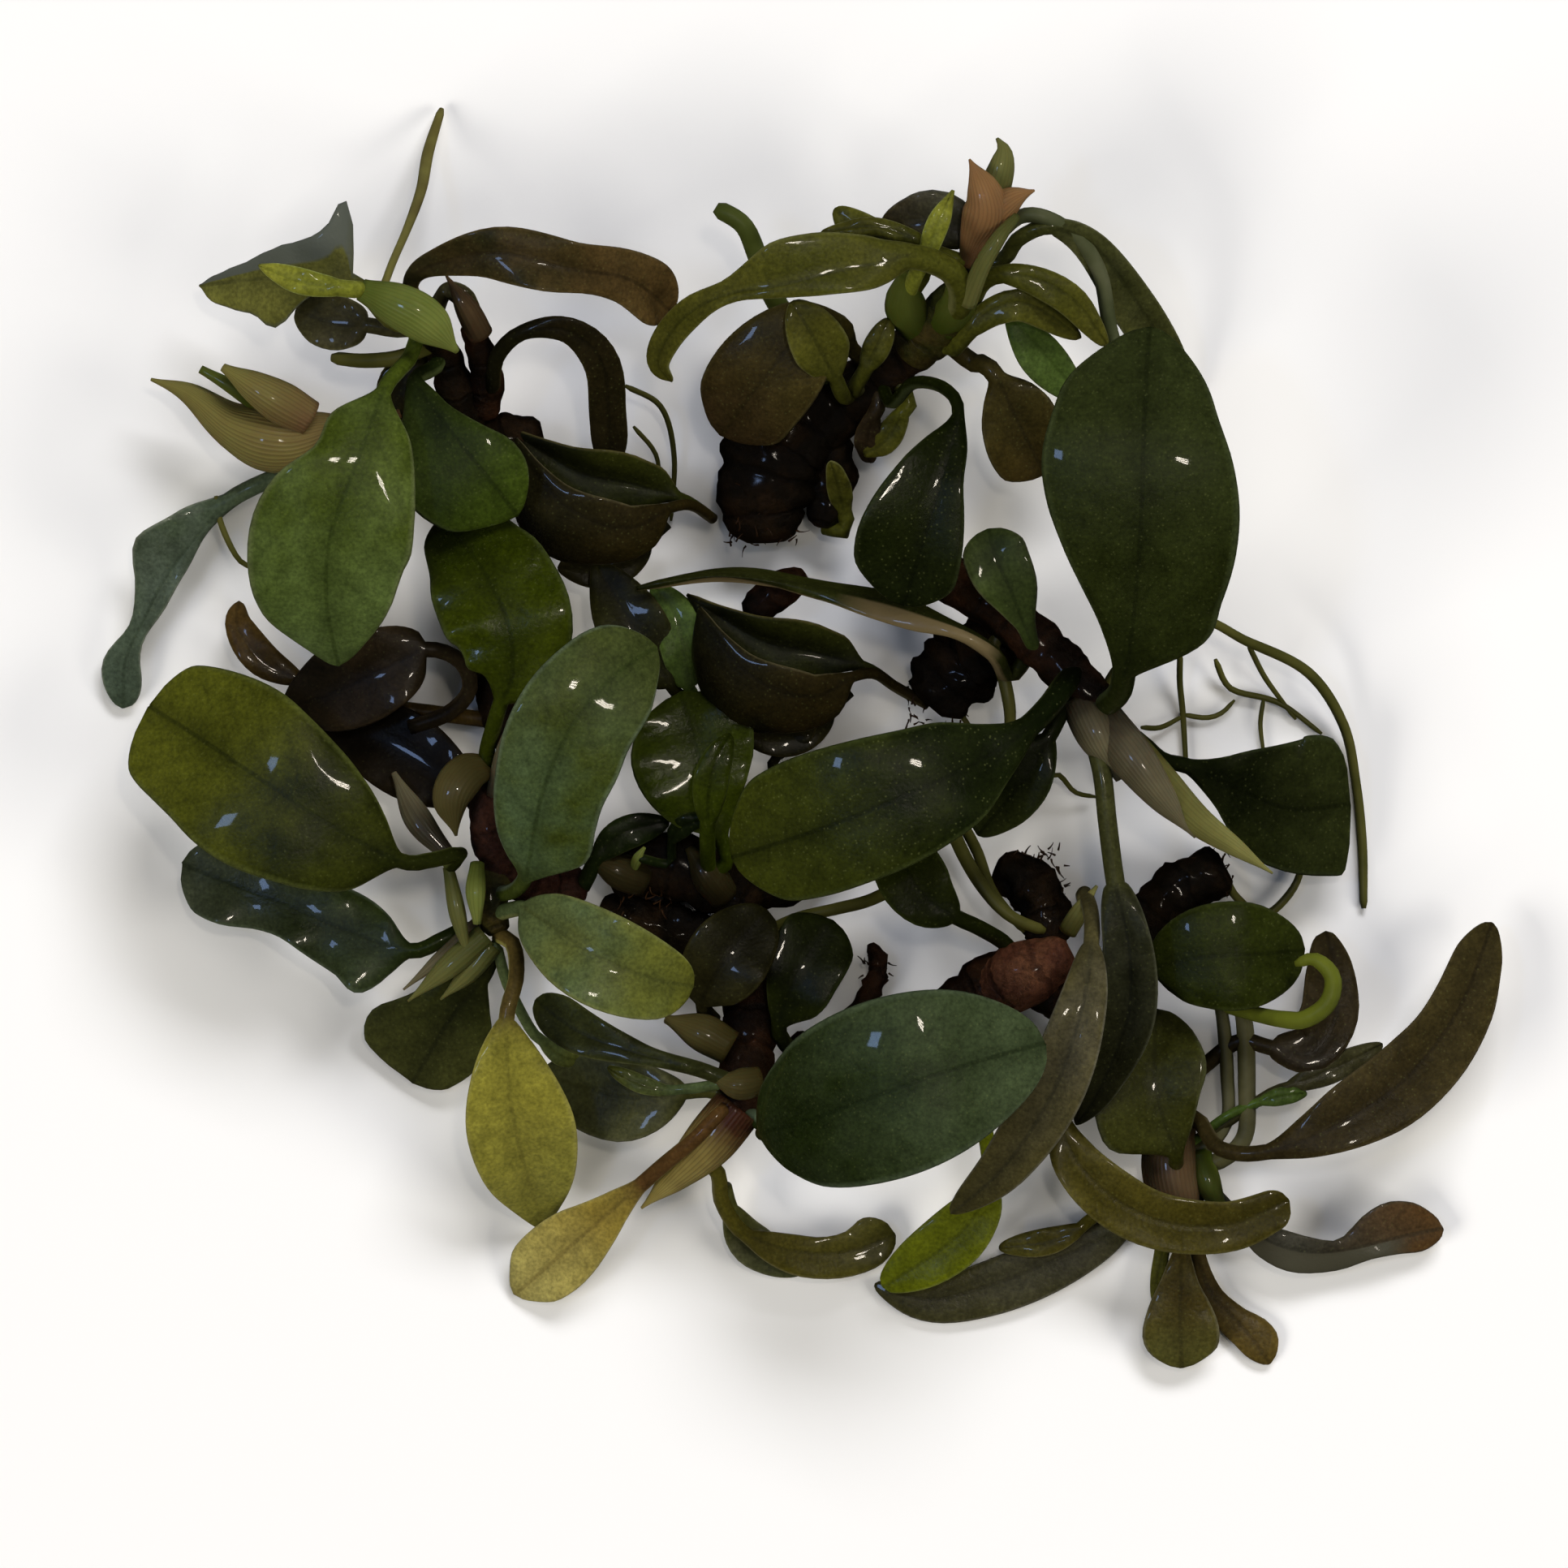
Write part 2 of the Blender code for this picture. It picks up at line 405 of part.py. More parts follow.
# Leaves of the north crown.
leaf("leaf_north_broad", [(57.5, 18.0, 8.6), (57.6, 16.5, 10.2), (56.2, 15.8, 11.6), (54.0, 16.2, 12.4),
                          (51.0, 16.9, 13.0), (48.0, 17.7, 13.0), (45.4, 18.1, 12.4), (43.2, 18.9, 11.6),
                          (41.6, 20.3, 10.2), (40.7, 22.4, 8.8), (41.0, 23.8, 8.2)],
     2, [1.6, 1.4, 0.8, 0.6, 0.9, 0.9, 0.6], [1.9, 2.7, 2.7, 0.9, 0.9, 0.8, 0.6], OLIVE, fold=(14, 12), stalk=0.9,
     rings=9)
leaf("leaf_north_brown", [(52.5, 21.5, 6.6), (51.8, 19.9, 8.4), (49.4, 20.6, 9.4), (46.8, 23.6, 9.0),
                          (44.2, 27.0, 6.8)],
     1, 3.5, 3.4, BROWN, ends=(0.6, 0.5), fold=(5, 5), curl=(-10, -10))
leaf("leaf_north_drooping", [(61.8, 16.0, 8.2), (62.8, 14.7, 9.2), (64.8, 14.0, 9.6), (67.4, 15.0, 8.6),
                             (70.2, 18.4, 5.6), (73.4, 24.0, 0.7)],
     2, 1.2, 1.8, OLIVE, widest=0.55, ends=(0.7, 0.7), rings=7)
leaf("leaf_north_stalked", [(59.8, 22.2, 5.4), (60.8, 22.7, 6.0), (61.9, 23.8, 6.2), (63.0, 26.2, 5.6),
                            (64.8, 29.4, 4.0)],
     2, 2.4, 2.4, BROWN, ends=(0.5, 0.5), stalk=0.9)
leaf("leaf_north_speckled", [(54.9, 24.8, 6.4), (56.3, 23.6, 9.0), (58.2, 24.2, 11.4), (58.9, 26.0, 12.4),
                             (57.7, 29.6, 13.4), (56.7, 33.4, 13.2), (55.6, 37.3, 11.6)],
     3, [1.0, 2.0, 2.6, 3.0, 3.4], [1.0, 2.2, 3.2, 3.6, 3.4], DARK_GREEN, blunt=0.86, rings=7)

# Leaves of the east crown.
leaf("leaf_east_large", [(68.9, 42.7, 10.6), (69.2, 41.4, 12.6), (69.6, 39.2, 14.8), (70.1, 33.6, 18.0),
                         (70.3, 27.2, 18.6), (70.7, 20.3, 15.4)],
     1, [2.2, 4.2, 5.4, 5.8, 4.6], [4.4, 5.8, 6.1, 5.6, 4.2], DARK_GREEN, fold=(4, 4), curl=(-14, -14),
     stalk=0.75, rings=8)
leaf("leaf_east_edge", [(62.2, 41.7, 7.3), (61.2, 40.4, 8.6), (58.6, 38.9, 8.6), (54.8, 37.8, 7.4),
                        (50.0, 36.6, 6.8), (44.4, 35.8, 6.6), (39.2, 36.2, 6.0)],
     1, 1.8, 1.8, OLIVE, roll=(66, 74, 68), fold=(4, 4), ends=(0.6, 0.8), rings=7)
leaf("leaf_east_blunt", [(71.3, 45.0, 8.2), (72.6, 46.6, 7.4), (75.6, 48.0, 6.2), (79.6, 49.4, 4.6),
                         (83.9, 50.4, 2.8)],
     1, [1.5, 2.6, 3.6, 4.2], [1.4, 2.6, 4.0, 4.4], DARK_GREEN, blunt=0.9, fold=(4, 4))
leaf("leaf_east_speckled", [(65.3, 43.2, 10.7), (64.7, 44.6, 12.0), (62.6, 45.8, 13.4), (57.4, 48.2, 15.0),
                            (51.2, 50.8, 14.4), (45.1, 53.0, 11.2)],
     2, 4.3, 4.3, DARK_GREEN, widest=0.52, ends=(0.7, 0.5), fold=(5, 5), curl=(-12, -12), stalk=0.75, rings=7)
leaf("leaf_east_hanging", [(68.1, 48.7, 9.6), (68.3, 51.4, 9.7), (68.9, 54.4, 9.4), (69.5, 58.6, 9.2),
                           (69.4, 62.6, 8.4), (67.8, 66.8, 6.8), (66.3, 69.3, 5.6)],
     2, 1.9, 1.9, BLUE_GREEN, ends=(0.6, 0.7), fold=(20, 20), stalk=0.65, rings=7)

# Leaves of the southeast crowns.
leaf("leaf_se_grey", [(66.8, 55.0, 4.4), (67.2, 56.2, 7.4), (67.2, 58.2, 9.7), (66.6, 62.0, 11.3),
                      (64.9, 67.0, 10.8), (62.0, 71.6, 8.4), (58.6, 74.8, 5.6)],
     2, 2.0, 2.0, GREY_GREEN, ends=(0.7, 0.6), rings=7)
leaf("leaf_se_green", [(70.4, 61.4, 4.2), (71.2, 59.8, 6.0), (74.0, 59.0, 7.2), (77.4, 58.8, 7.0),
                       (80.4, 58.6, 5.2)],
     1, 3.4, 3.5, OLIVE, widest=0.5, ends=(0.5, 0.5), fold=(5, 5), curl=(-8, -8), rings=7)
leaf("leaf_se_olive", [(73.0, 70.6, 3.9), (72.6, 69.2, 4.9), (71.8, 66.2, 5.3), (71.0, 62.6, 4.0)],
     1, 3.8, 3.0, OLIVE, ends=(0.6, 0.5))
leaf("leaf_se_sickle", [(74.9, 70.7, 3.6), (76.0, 70.6, 5.0), (78.0, 70.7, 5.8), (82.0, 69.2, 6.2),
                        (86.0, 66.2, 5.4), (89.6, 62.0, 4.0), (92.1, 56.9, 2.2)],
     2, 2.5, 2.9, BROWN, widest=0.5, ends=(0.6, 0.5), rings=8)
leaf("leaf_se_curled", [(74.2, 65.8, 2.6), (76.4, 64.2, 3.2), (78.4, 64.6, 3.6), (80.9, 65.0, 3.6),
                        (82.4, 62.8, 3.2), (82.4, 60.0, 2.6), (81.8, 57.4, 2.0)],
     2, 2.4, 1.4, BROWN, ends=(0.6, 0.45), rings=7)
leaf("leaf_se_boat", [(66.1, 65.2, 4.4), (65.3, 68.4, 4.8), (66.6, 72.0, 5.0), (70.6, 75.0, 4.6),
                      (75.4, 75.6, 4.2), (79.5, 74.0, 4.4)],
     1, 1.9, 1.9, OLIVE, ends=(0.7, 0.6), fold=(18, 18), rings=7)
leaf("leaf_se_twisted", [(74.7, 72.6, 2.4), (75.8, 73.8, 2.3), (77.4, 75.2, 2.0), (79.6, 76.8, 1.7),
                         (82.6, 77.0, 1.6), (85.6, 76.2, 1.4), (89.3, 76.3, 0.9)],
     2, [0.7, 0.9, 0.8, 2.1, 2.4], [1.2, 1.6, 1.0, 1.0, 1.2], BROWN, roll=(0, 20, 10, 0), rings=8)
leaf("leaf_se_spoon", [(72.6, 74.0, 2.0), (72.4, 76.4, 1.9), (72.5, 79.6, 1.7), (72.9, 82.2, 1.5),
                       (72.8, 84.5, 1.1)],
     1, [0.9, 1.1, 2.0, 2.2], [1.0, 1.3, 2.0, 2.2], OLIVE, fold=(6, 6))
leaf("leaf_se_spoon_b", [(74.2, 74.0, 1.4), (74.2, 77.2, 0.9), (75.4, 80.2, 0.6), (77.0, 81.9, 0.5),
                         (78.4, 84.0, 0.4)],
     1, [0.6, 0.9, 1.5, 1.7], [0.7, 1.0, 1.5, 1.7], BROWN, fold=(4, 4))
leaf("leaf_se_lime", [(59.6, 65.0, 2.8), (60.6, 69.0, 3.8), (60.9, 73.0, 3.6), (59.0, 76.2, 2.9),
                      (54.4, 79.4, 1.8)],
     2, 2.0, 2.0, LIME, ends=(0.6, 0.5))
leaf("leaf_se_folded", [(71.6, 73.6, 1.2), (69.4, 75.6, 0.9), (65.4, 77.6, 0.8), (60.8, 79.4, 0.6),
                        (57.2, 80.2, 0.5), (53.9, 79.3, 0.4)],
     1, 2.0, 1.6, GREY_GREEN, ends=(0.6, 0.6), fold=(6, 6), rings=7)
leaf("leaf_se_small", [(61.6, 57.4, 5.4), (60.4, 56.8, 6.2), (58.4, 55.7, 7.0), (56.8, 53.3, 7.2),
                       (55.8, 50.3, 6.4)],
     1, 2.2, 2.2, DARK_GREEN, ends=(0.7, 0.5))
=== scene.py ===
"""Looks of a clump of bucephalandra on a pale surface: knobbly rhizomes, sheathed buds, roots and leaves.

Places are in millimetres on a sheet laid over the clump as seen from above: across from its left edge, down
from its top edge, and up from the surface.
"""

import math
import random

import bmesh
import bpy
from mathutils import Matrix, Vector, noise


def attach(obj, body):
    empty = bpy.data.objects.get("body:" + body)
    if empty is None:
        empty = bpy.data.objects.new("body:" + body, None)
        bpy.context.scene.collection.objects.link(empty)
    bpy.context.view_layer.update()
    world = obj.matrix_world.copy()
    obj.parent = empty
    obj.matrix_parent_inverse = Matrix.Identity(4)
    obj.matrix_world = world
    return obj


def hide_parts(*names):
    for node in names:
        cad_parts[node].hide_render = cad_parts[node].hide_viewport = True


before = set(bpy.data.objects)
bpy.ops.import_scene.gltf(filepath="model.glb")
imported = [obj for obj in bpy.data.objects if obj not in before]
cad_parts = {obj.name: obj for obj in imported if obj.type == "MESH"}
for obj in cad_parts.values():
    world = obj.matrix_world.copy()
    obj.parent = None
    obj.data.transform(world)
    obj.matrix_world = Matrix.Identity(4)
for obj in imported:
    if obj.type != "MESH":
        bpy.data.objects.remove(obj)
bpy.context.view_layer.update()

# Rhizomes. Creeping stems of old brown tissue 2 to 7 mm thick, swollen at each leaf scar and broken off
# bluntly where they were cut. They carry every leaf, and the clump lies on the lowest of them.
SHEET_CENTRE = (49.425, 45.43)
MM = 0.001
SCAR_GAP = 2.3
# How far apart the rings of a mesh stand on a rough stem, and on a smooth one.
FINE_STEP = 0.3
COARSE_STEP = 0.42


def on_sheet(place):
    return Vector((place[0] - SHEET_CENTRE[0], SHEET_CENTRE[1] - place[1], place[2]))


def curve_through(a, b, c, d, t):
    """A share t of the way from b to c, on the smooth curve that passes through all four."""
    even = 2 * b + (2 * a - 5 * b + 4 * c - d) * t * t
    odd = (c - a) * t + (3 * b - a - 3 * c + d) * t**3
    return (even + odd) / 2


def stem_line(places):
    """Close points of a smooth line through the places, their distance along it, and each place's."""
    knots = [on_sheet(place) for place in places]
    ends = [2 * knots[0] - knots[1], *knots, 2 * knots[-1] - knots[-2]]
    line = []
    marks = []
    for four in zip(ends, ends[1:], ends[2:], ends[3:]):
        marks.append(len(line))
        line.extend(curve_through(*four, step / 20) for step in range(20))
    marks.append(len(line))
    line.append(knots[-1])
    along = [0.0]
    for first, second in zip(line, line[1:]):
        along.append(along[-1] + (second - first).length)
    return line, along, [along[mark] for mark in marks]


def point_at(line, along, distance):
    """The point at a distance along a line, and the way forward there."""
    index = 1
    while index < len(along) - 1 and along[index] < distance:
        index += 1
    before, after = along[index - 1], along[index]
    share = min(max((distance - before) / max(after - before, 1e-9), 0.0), 1.0)
    first = line[max(index - 2, 0)]
    last = line[min(index + 1, len(line) - 1)]
    return line[index - 1].lerp(line[index], share), (last - first).normalized()


def between(values, share):
    """The value at a share of the way through evenly spaced values, on a smooth curve through them."""
    place = min(max(share, 0.0), 1.0) * (len(values) - 1)
    index = min(int(place), len(values) - 2)
    b, c = values[index], values[index + 1]
    a = values[index - 1] if index > 0 else b
    d = values[index + 2] if index + 2 < len(values) else c
    return curve_through(a, b, c, d, place - index)


# Centre points of the stems and of the lower half of each sheath, for petioles and roots to grow out of.
crown_points = []


def rooted(places, reach=3.2):
    """The places led back into the nearest stem where one is near, and how many were put before them."""
    start = on_sheet(places[0])
    nearest = min(crown_points, key=lambda point: (point - start).length)
    if 0.3 < (nearest - start).length < reach:
        return [(nearest.x + SHEET_CENTRE[0], SHEET_CENTRE[1] - nearest.y, nearest.z), *places], 1
    return places, 0


def cross_sections(line, along, distances, middle):
    """Point, forward, up and right at each distance, carried both ways from the one nearest the middle."""
    sections = [None] * len(distances)
    start = min(range(len(distances)), key=lambda k: abs(distances[k] - middle))
    point, forward = point_at(line, along, distances[start])
    up = (Vector((0, 0, 1)) - forward * forward.z).normalized()
    sections[start] = (point, forward, up)
    for order in (range(start + 1, len(distances)), range(start - 1, -1, -1)):
        carried = up
        for k in order:
            point, forward = point_at(line, along, distances[k])
            carried = (carried - forward * carried.dot(forward)).normalized()
            sections[k] = (point, forward, carried)
    return [(point, top, forward.cross(top)) for point, forward, top in sections]


def ringed_line(places, step, least):
    """A smooth line's points, the distance of each of its evenly spaced rings, and the sections there."""
    line, along, _ = stem_line(places)
    rings = max(int(along[-1] / step), least)
    distances = [along[-1] * (k / (rings - 1)) for k in range(rings)]
    return line, distances, cross_sections(line, along, distances, along[-1] / 2)


def unit_tube(sides, rings):
    """A closed tube whose vertices' height is their ring number, ready to be laid along a line."""
    work = bmesh.new()
    bmesh.ops.create_cone(work, cap_ends=True, segments=sides, radius1=1, radius2=1, depth=rings - 1)
    lengthwise = [edge for edge in work.edges if abs(edge.verts[0].co.z - edge.verts[1].co.z) > 0.5]
    bmesh.ops.subdivide_edges(work, edges=lengthwise, cuts=rings - 2, use_grid_fill=True)
    bmesh.ops.reverse_faces(work, faces=work.faces)
    bmesh.ops.translate(work, verts=work.verts, vec=(0, 0, (rings - 1) / 2))
    return work


def grown(name, work, skin, node=None):
    """The finished piece: it rides with the clump, and stands for a CAD node where one is named."""
    mesh = bpy.data.meshes.new(name)
    for face in work.faces:
        face.smooth = True
    work.to_mesh(mesh)
    work.free()
    mesh.materials.append(skin)
    piece = bpy.data.objects.new(name, mesh)
    bpy.context.scene.collection.objects.link(piece)
    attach(piece, "root")
    if node:
        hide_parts(node)
    return piece


def stem(name, places, radii, skin, slot="rhizome", node=None, sides=28, scars=0.0, lumps=0.0, flatten=1.0):
    """A round stem whose radius passes through the radii, with leaf scars and lumps of two sizes on it."""
    thinnest, blunt_end, big_lumps, small_lumps = 0.08, 0.6, 0.9, 2.4
    line, distances, sections = ringed_line(places, FINE_STEP if lumps else COARSE_STEP, 10)
    if slot == "rhizome":
        crown_points.extend(line)
    work = unit_tube(sides, len(distances))
    length_mark = work.verts.layers.float.new("along")
    for vertex in work.verts:
        ring = round(vertex.co.z)
        point, up, side = sections[ring]
        radius = max(between(radii, ring / (len(distances) - 1)), thinnest)
        cap = min(distances[ring], distances[-1] - distances[ring]) / max(radius * blunt_end, 0.05)
        if cap < 1:
            radius *= blunt_end + (1 - blunt_end) * math.sqrt(max(cap * (2 - cap), 0.0))
        swell = abs(math.sin(math.pi * distances[ring] / SCAR_GAP + len(name)))
        radius *= 1 - scars * (1 - swell) ** 3
        out = side * vertex.co.x + up * vertex.co.y * flatten
        around = point + out * radius
        big, small = noise.noise(around * big_lumps), noise.noise(around * small_lumps)
        radius *= 1 - lumps * (0.4 + 0.7 * big + 0.5 * small)
        vertex[length_mark] = distances[ring]
        vertex.co = (point + out * radius) * MM
    return grown(name, work, skin, node)


def linear(colour):
    """A hex sRGB colour as the linear values that a shader takes."""
    parts = [int(colour[k:k + 2], 16) / 255 for k in (1, 3, 5)]
    return (*[p / 12.92 if p <= 0.04045 else ((p + 0.055) / 1.055) ** 2.4 for p in parts], 1.0)


def feed(node, sockets):
    """Sets a node's sockets. Each takes a value, an output, or a node whose first output feeds it."""
    for socket, value in sockets.items():
        if isinstance(value, bpy.types.Node):
            value = next(output for output in value.outputs if output.enabled)
        if isinstance(value, bpy.types.NodeSocket):
            node.id_data.links.new(value, node.inputs[socket])
        else:
            node.inputs[socket].default_value = value


def add(tree, kind, sockets=None, **settings):
    """One shader node with its settings and its links."""
    node = tree.nodes.new("ShaderNode" + kind)
    for setting, value in settings.items():
        setattr(node, setting, value)
    feed(node, sockets or {})
    return node


def new_skin(name):
    """A new material, its node tree, its shader, and the place on the piece that its patterns read."""
    skin = bpy.data.materials.new(name)
    skin.use_nodes = True
    tree = skin.node_tree
    return skin, tree, tree.nodes["Principled BSDF"], add(tree, "TexCoord").outputs["Object"]


def bark(name, old, young, lump, shine=0.42):
    """Skin of an old stem: corky brown with painted shade in the hollows of its grain, ringed by leaf scars,
    and still damp.
    """
    skin, tree, shader, place = new_skin(name)
    along = add(tree, "Attribute", attribute_name="along").outputs["Fac"]
    # Patches of younger tissue are 2 to 3 mm across, and the cork's own grain 0.3 mm.
    patches = add(tree, "TexNoise", {"Vector": place, "Scale": 1 / 0.0026, "Detail": 4.0})
    grain = add(tree, "TexNoise", {"Vector": place, "Scale": 1 / 0.0003, "Detail": 5.0, "Roughness": 0.7})
    pick = add(tree, "MapRange", {"Value": patches, "From Min": 0.45, "From Max": 0.68})
    colour = add(tree, "Mix", {"Factor": pick, "A": linear(old), "B": linear(young)}, data_type="RGBA")
    # A scar ring runs round wherever a leaf stood.
    wander = add(tree, "Math", {0: patches, 1: 5.0}, operation="MULTIPLY")
    turn = add(tree, "Math", {0: along, 1: 2 * math.pi / SCAR_GAP, 2: wander}, operation="MULTIPLY_ADD")
    wave = add(tree, "Math", {0: turn}, operation="SINE")
    scar = add(tree, "MapRange", {"Value": wave, "From Min": 0.82, "From Max": 1.0, "To Max": 0.55})
    ringed = add(tree, "Mix", {"Factor": scar, "A": colour, "B": linear(lump)}, data_type="RGBA")
    # Painted shade: where the 0.3 mm grain is low, in the hollows of the bump, the colour is darkened.
    dark = add(tree, "MapRange", {"Value": grain, "From Min": 0.3, "From Max": 0.62, "To Min": 0.35,
                                  "To Max": 1.1})
    shaded = add(tree, "Mix", {"Factor": 1.0, "A": ringed, "B": dark}, data_type="RGBA",
                 blend_type="MULTIPLY")
    rough = add(tree, "MapRange", {"Value": grain, "To Min": shine - 0.12, "To Max": shine + 0.3})
    height = add(tree, "Math", {0: grain, 1: scar}, operation="SUBTRACT")
    bump = add(tree, "Bump", {"Height": height, "Strength": 0.7, "Distance": 0.00025})
    # A film of moisture over the cork: sharp small glints on the lumps, and painted shade black between
    # them.
    feed(shader, {"Base Color": shaded, "Roughness": rough, "Normal": bump, "Specular IOR Level": 0.3,
                  "Coat Weight": 0.3, "Coat Roughness": 0.12})
    return skin


old_bark = bark("damp rhizome cork", "#100b05", "#24180b", "#060402")
crown_bark = bark("young rhizome skin", "#1a0f06", "#341f11", "#0c0703", 0.36)
purple_bark = bark("purple brown rhizome skin", "#281711", "#40261a", "#150a07", 0.34)
pink_bark = bark("wet pinkish rhizome skin", "#523020", "#6c472e", "#24120c", 0.3)
green_bark = bark("green rhizome skin", "#2b2e0e", "#3f3415", "#141405", 0.34)

stem("hub_stem", [(37.5, 54.2, 2.2), (40.5, 53.2, 2.4), (44.0, 54.2, 2.4), (46.8, 56.0, 2.2)],
     [1.8, 2.2, 2.3, 2.1], old_bark, node="rhizome_hub", scars=0.14, lumps=0.16)
stem("hub_branch", [(45.6, 54.6, 2.4), (48.4, 54.4, 2.2), (51.6, 52.0, 2.0), (54.8, 48.2, 2.0),
      (56.6, 45.8, 2.2)], [1.5, 1.5, 1.35, 1.4, 1.6], old_bark, scars=0.12, lumps=0.14)
stem("west_stem", [(36.0, 54.6, 2.6), (33.5, 54.6, 3.2), (31.3, 53.6, 5.2), (30.2, 51.2, 6.4),
      (29.9, 48.0, 6.0)], [1.45, 1.45, 1.45, 1.35, 0.9], purple_bark, node="rhizome_west", scars=0.1,
     lumps=0.1)
stem("west_stem_foot", [(30.9, 53.4, 5.4), (30.2, 55.2, 6.0), (30.6, 57.6, 6.2)], [1.25, 1.15, 0.85],
     green_bark, scars=0.1, lumps=0.08)
stem("northwest_stem", [(31.4, 46.0, 3.0), (30.2, 41.0, 2.2), (29.4, 33.0, 2.6), (28.8, 27.0, 4.0),
      (27.6, 22.6, 6.0), (26.6, 20.6, 8.0), (25.4, 19.6, 10.2)], [1.35, 1.5, 1.6, 1.7, 1.5, 1.1, 0.8],
     old_bark, node="rhizome_northwest", scars=0.12, lumps=0.14)
stem("northwest_knob", [(29.2, 27.0, 3.8), (31.6, 27.0, 4.2), (33.4, 26.6, 4.2)], [1.5, 1.7, 1.3], old_bark,
     scars=0.1, lumps=0.16)
stem("north_stem", [(47.2, 33.3, 2.4), (47.1, 30.2, 2.8), (48.4, 27.0, 3.0), (51.7, 24.7, 3.8),
      (54.6, 22.6, 4.8), (57.4, 20.4, 6.0), (59.2, 18.2, 7.2), (60.0, 16.6, 8.0)],
     [2.2, 3.2, 3.5, 2.4, 1.8, 1.6, 1.6, 1.1], old_bark, node="rhizome_north", scars=0.1, lumps=0.14,
     flatten=0.78)
stem("north_stem_edge", [(50.4, 25.6, 2.8), (51.2, 29.0, 2.4), (50.8, 32.4, 1.9)], [1.4, 1.7, 1.2], old_bark,
     scars=0.1, lumps=0.26)
stem("north_stem_top", [(55.8, 21.8, 5.4), (57.4, 20.4, 6.4), (59.0, 18.6, 7.6), (59.8, 16.8, 8.6)],
     [1.6, 1.8, 1.7, 1.0], green_bark, scars=0.1, lumps=0.12)
stem("east_stem", [(56.8, 28.8, 2.6), (56.6, 31.4, 3.0), (57.6, 34.8, 5.4), (61.4, 37.4, 7.2),
      (65.4, 41.0, 8.4), (67.9, 43.8, 8.8)], [1.1, 1.4, 1.6, 1.6, 1.6, 1.4], crown_bark, node="rhizome_east",
     scars=0.1, lumps=0.16)
stem("east_stump", [(62.6, 39.0, 6.4), (60.4, 40.2, 3.4), (58.6, 41.8, 2.7), (57.2, 43.4, 2.6)],
     [1.3, 2.3, 2.7, 2.4], old_bark, scars=0.1, lumps=0.34)
stem("south_stem", [(45.2, 58.6, 2.4), (46.2, 62.0, 3.2), (45.9, 66.0, 4.7), (45.3, 68.6, 5.1),
      (44.2, 70.2, 4.9)], [1.6, 1.8, 1.8, 1.6, 1.0], crown_bark, node="rhizome_south", scars=0.12, lumps=0.1)
stem("southeast_stem", [(48.6, 64.6, 1.9), (53.4, 65.4, 1.8), (58.0, 63.0, 2.6), (62.2, 60.3, 3.8),
      (65.0, 61.0, 3.8), (67.6, 63.8, 2.4), (70.6, 67.6, 1.9), (73.0, 71.4, 2.1), (73.4, 74.4, 1.9)],
     [1.2, 1.3, 1.5, 2.1, 1.9, 1.5, 1.4, 1.3, 1.0], crown_bark, node="rhizome_southeast", scars=0.12,
     lumps=0.14)
stem("southeast_stump", [(64.6, 58.2, 4.0), (64.5, 56.4, 3.2), (63.4, 54.4, 2.8), (61.4, 53.6, 2.4)],
     [1.6, 1.8, 1.9, 1.3], old_bark, scars=0.1, lumps=0.34)
stem("southeast_lump", [(60.6, 61.2, 3.6), (63.2, 60.0, 5.2), (66.0, 58.6, 5.2)], [1.5, 2.2, 1.3], pink_bark,
     lumps=0.16)
stem("southeast_chunk", [(68.4, 64.4, 2.2), (70.2, 59.0, 1.9), (72.0, 55.4, 2.0), (75.6, 53.4, 2.1)],
     [1.2, 1.3, 1.8, 1.8], old_bark, scars=0.1, lumps=0.26)
stem("middle_debris", [(53.6, 58.2, 1.2), (54.1, 59.5, 1.4), (53.6, 61.2, 1.2), (52.3, 62.9, 1.1)],
     [0.5, 0.85, 0.75, 0.6], crown_bark, "root", lumps=0.6)
stem("hub_lump", [(36.9, 56.0, 2.0), (39.4, 57.0, 2.2), (42.0, 57.4, 2.2), (44.8, 58.4, 2.2)],
     [1.5, 1.8, 1.8, 1.4], old_bark, scars=0.1, lumps=0.34)
stem("northwest_fork", [(29.6, 25.6, 4.4), (30.0, 23.6, 5.6), (29.6, 21.6, 7.0), (28.8, 20.0, 8.4)],
     [1.1, 1.1, 1.0, 0.6], crown_bark, scars=0.1, lumps=0.14)
stem("middle_stump", [(46.2, 38.0, 3.4), (47.6, 36.6, 3.8), (49.6, 35.4, 3.4)], [1.1, 1.3, 0.9], crown_bark,
     lumps=0.2)

# Sheaths and buds. Young leaves are still rolled in thin pinkish scales at each crown; the scales are
# smooth, moist and a little see-through, ribbed lengthwise, and end in a point.
RIB_GAP = 0.3


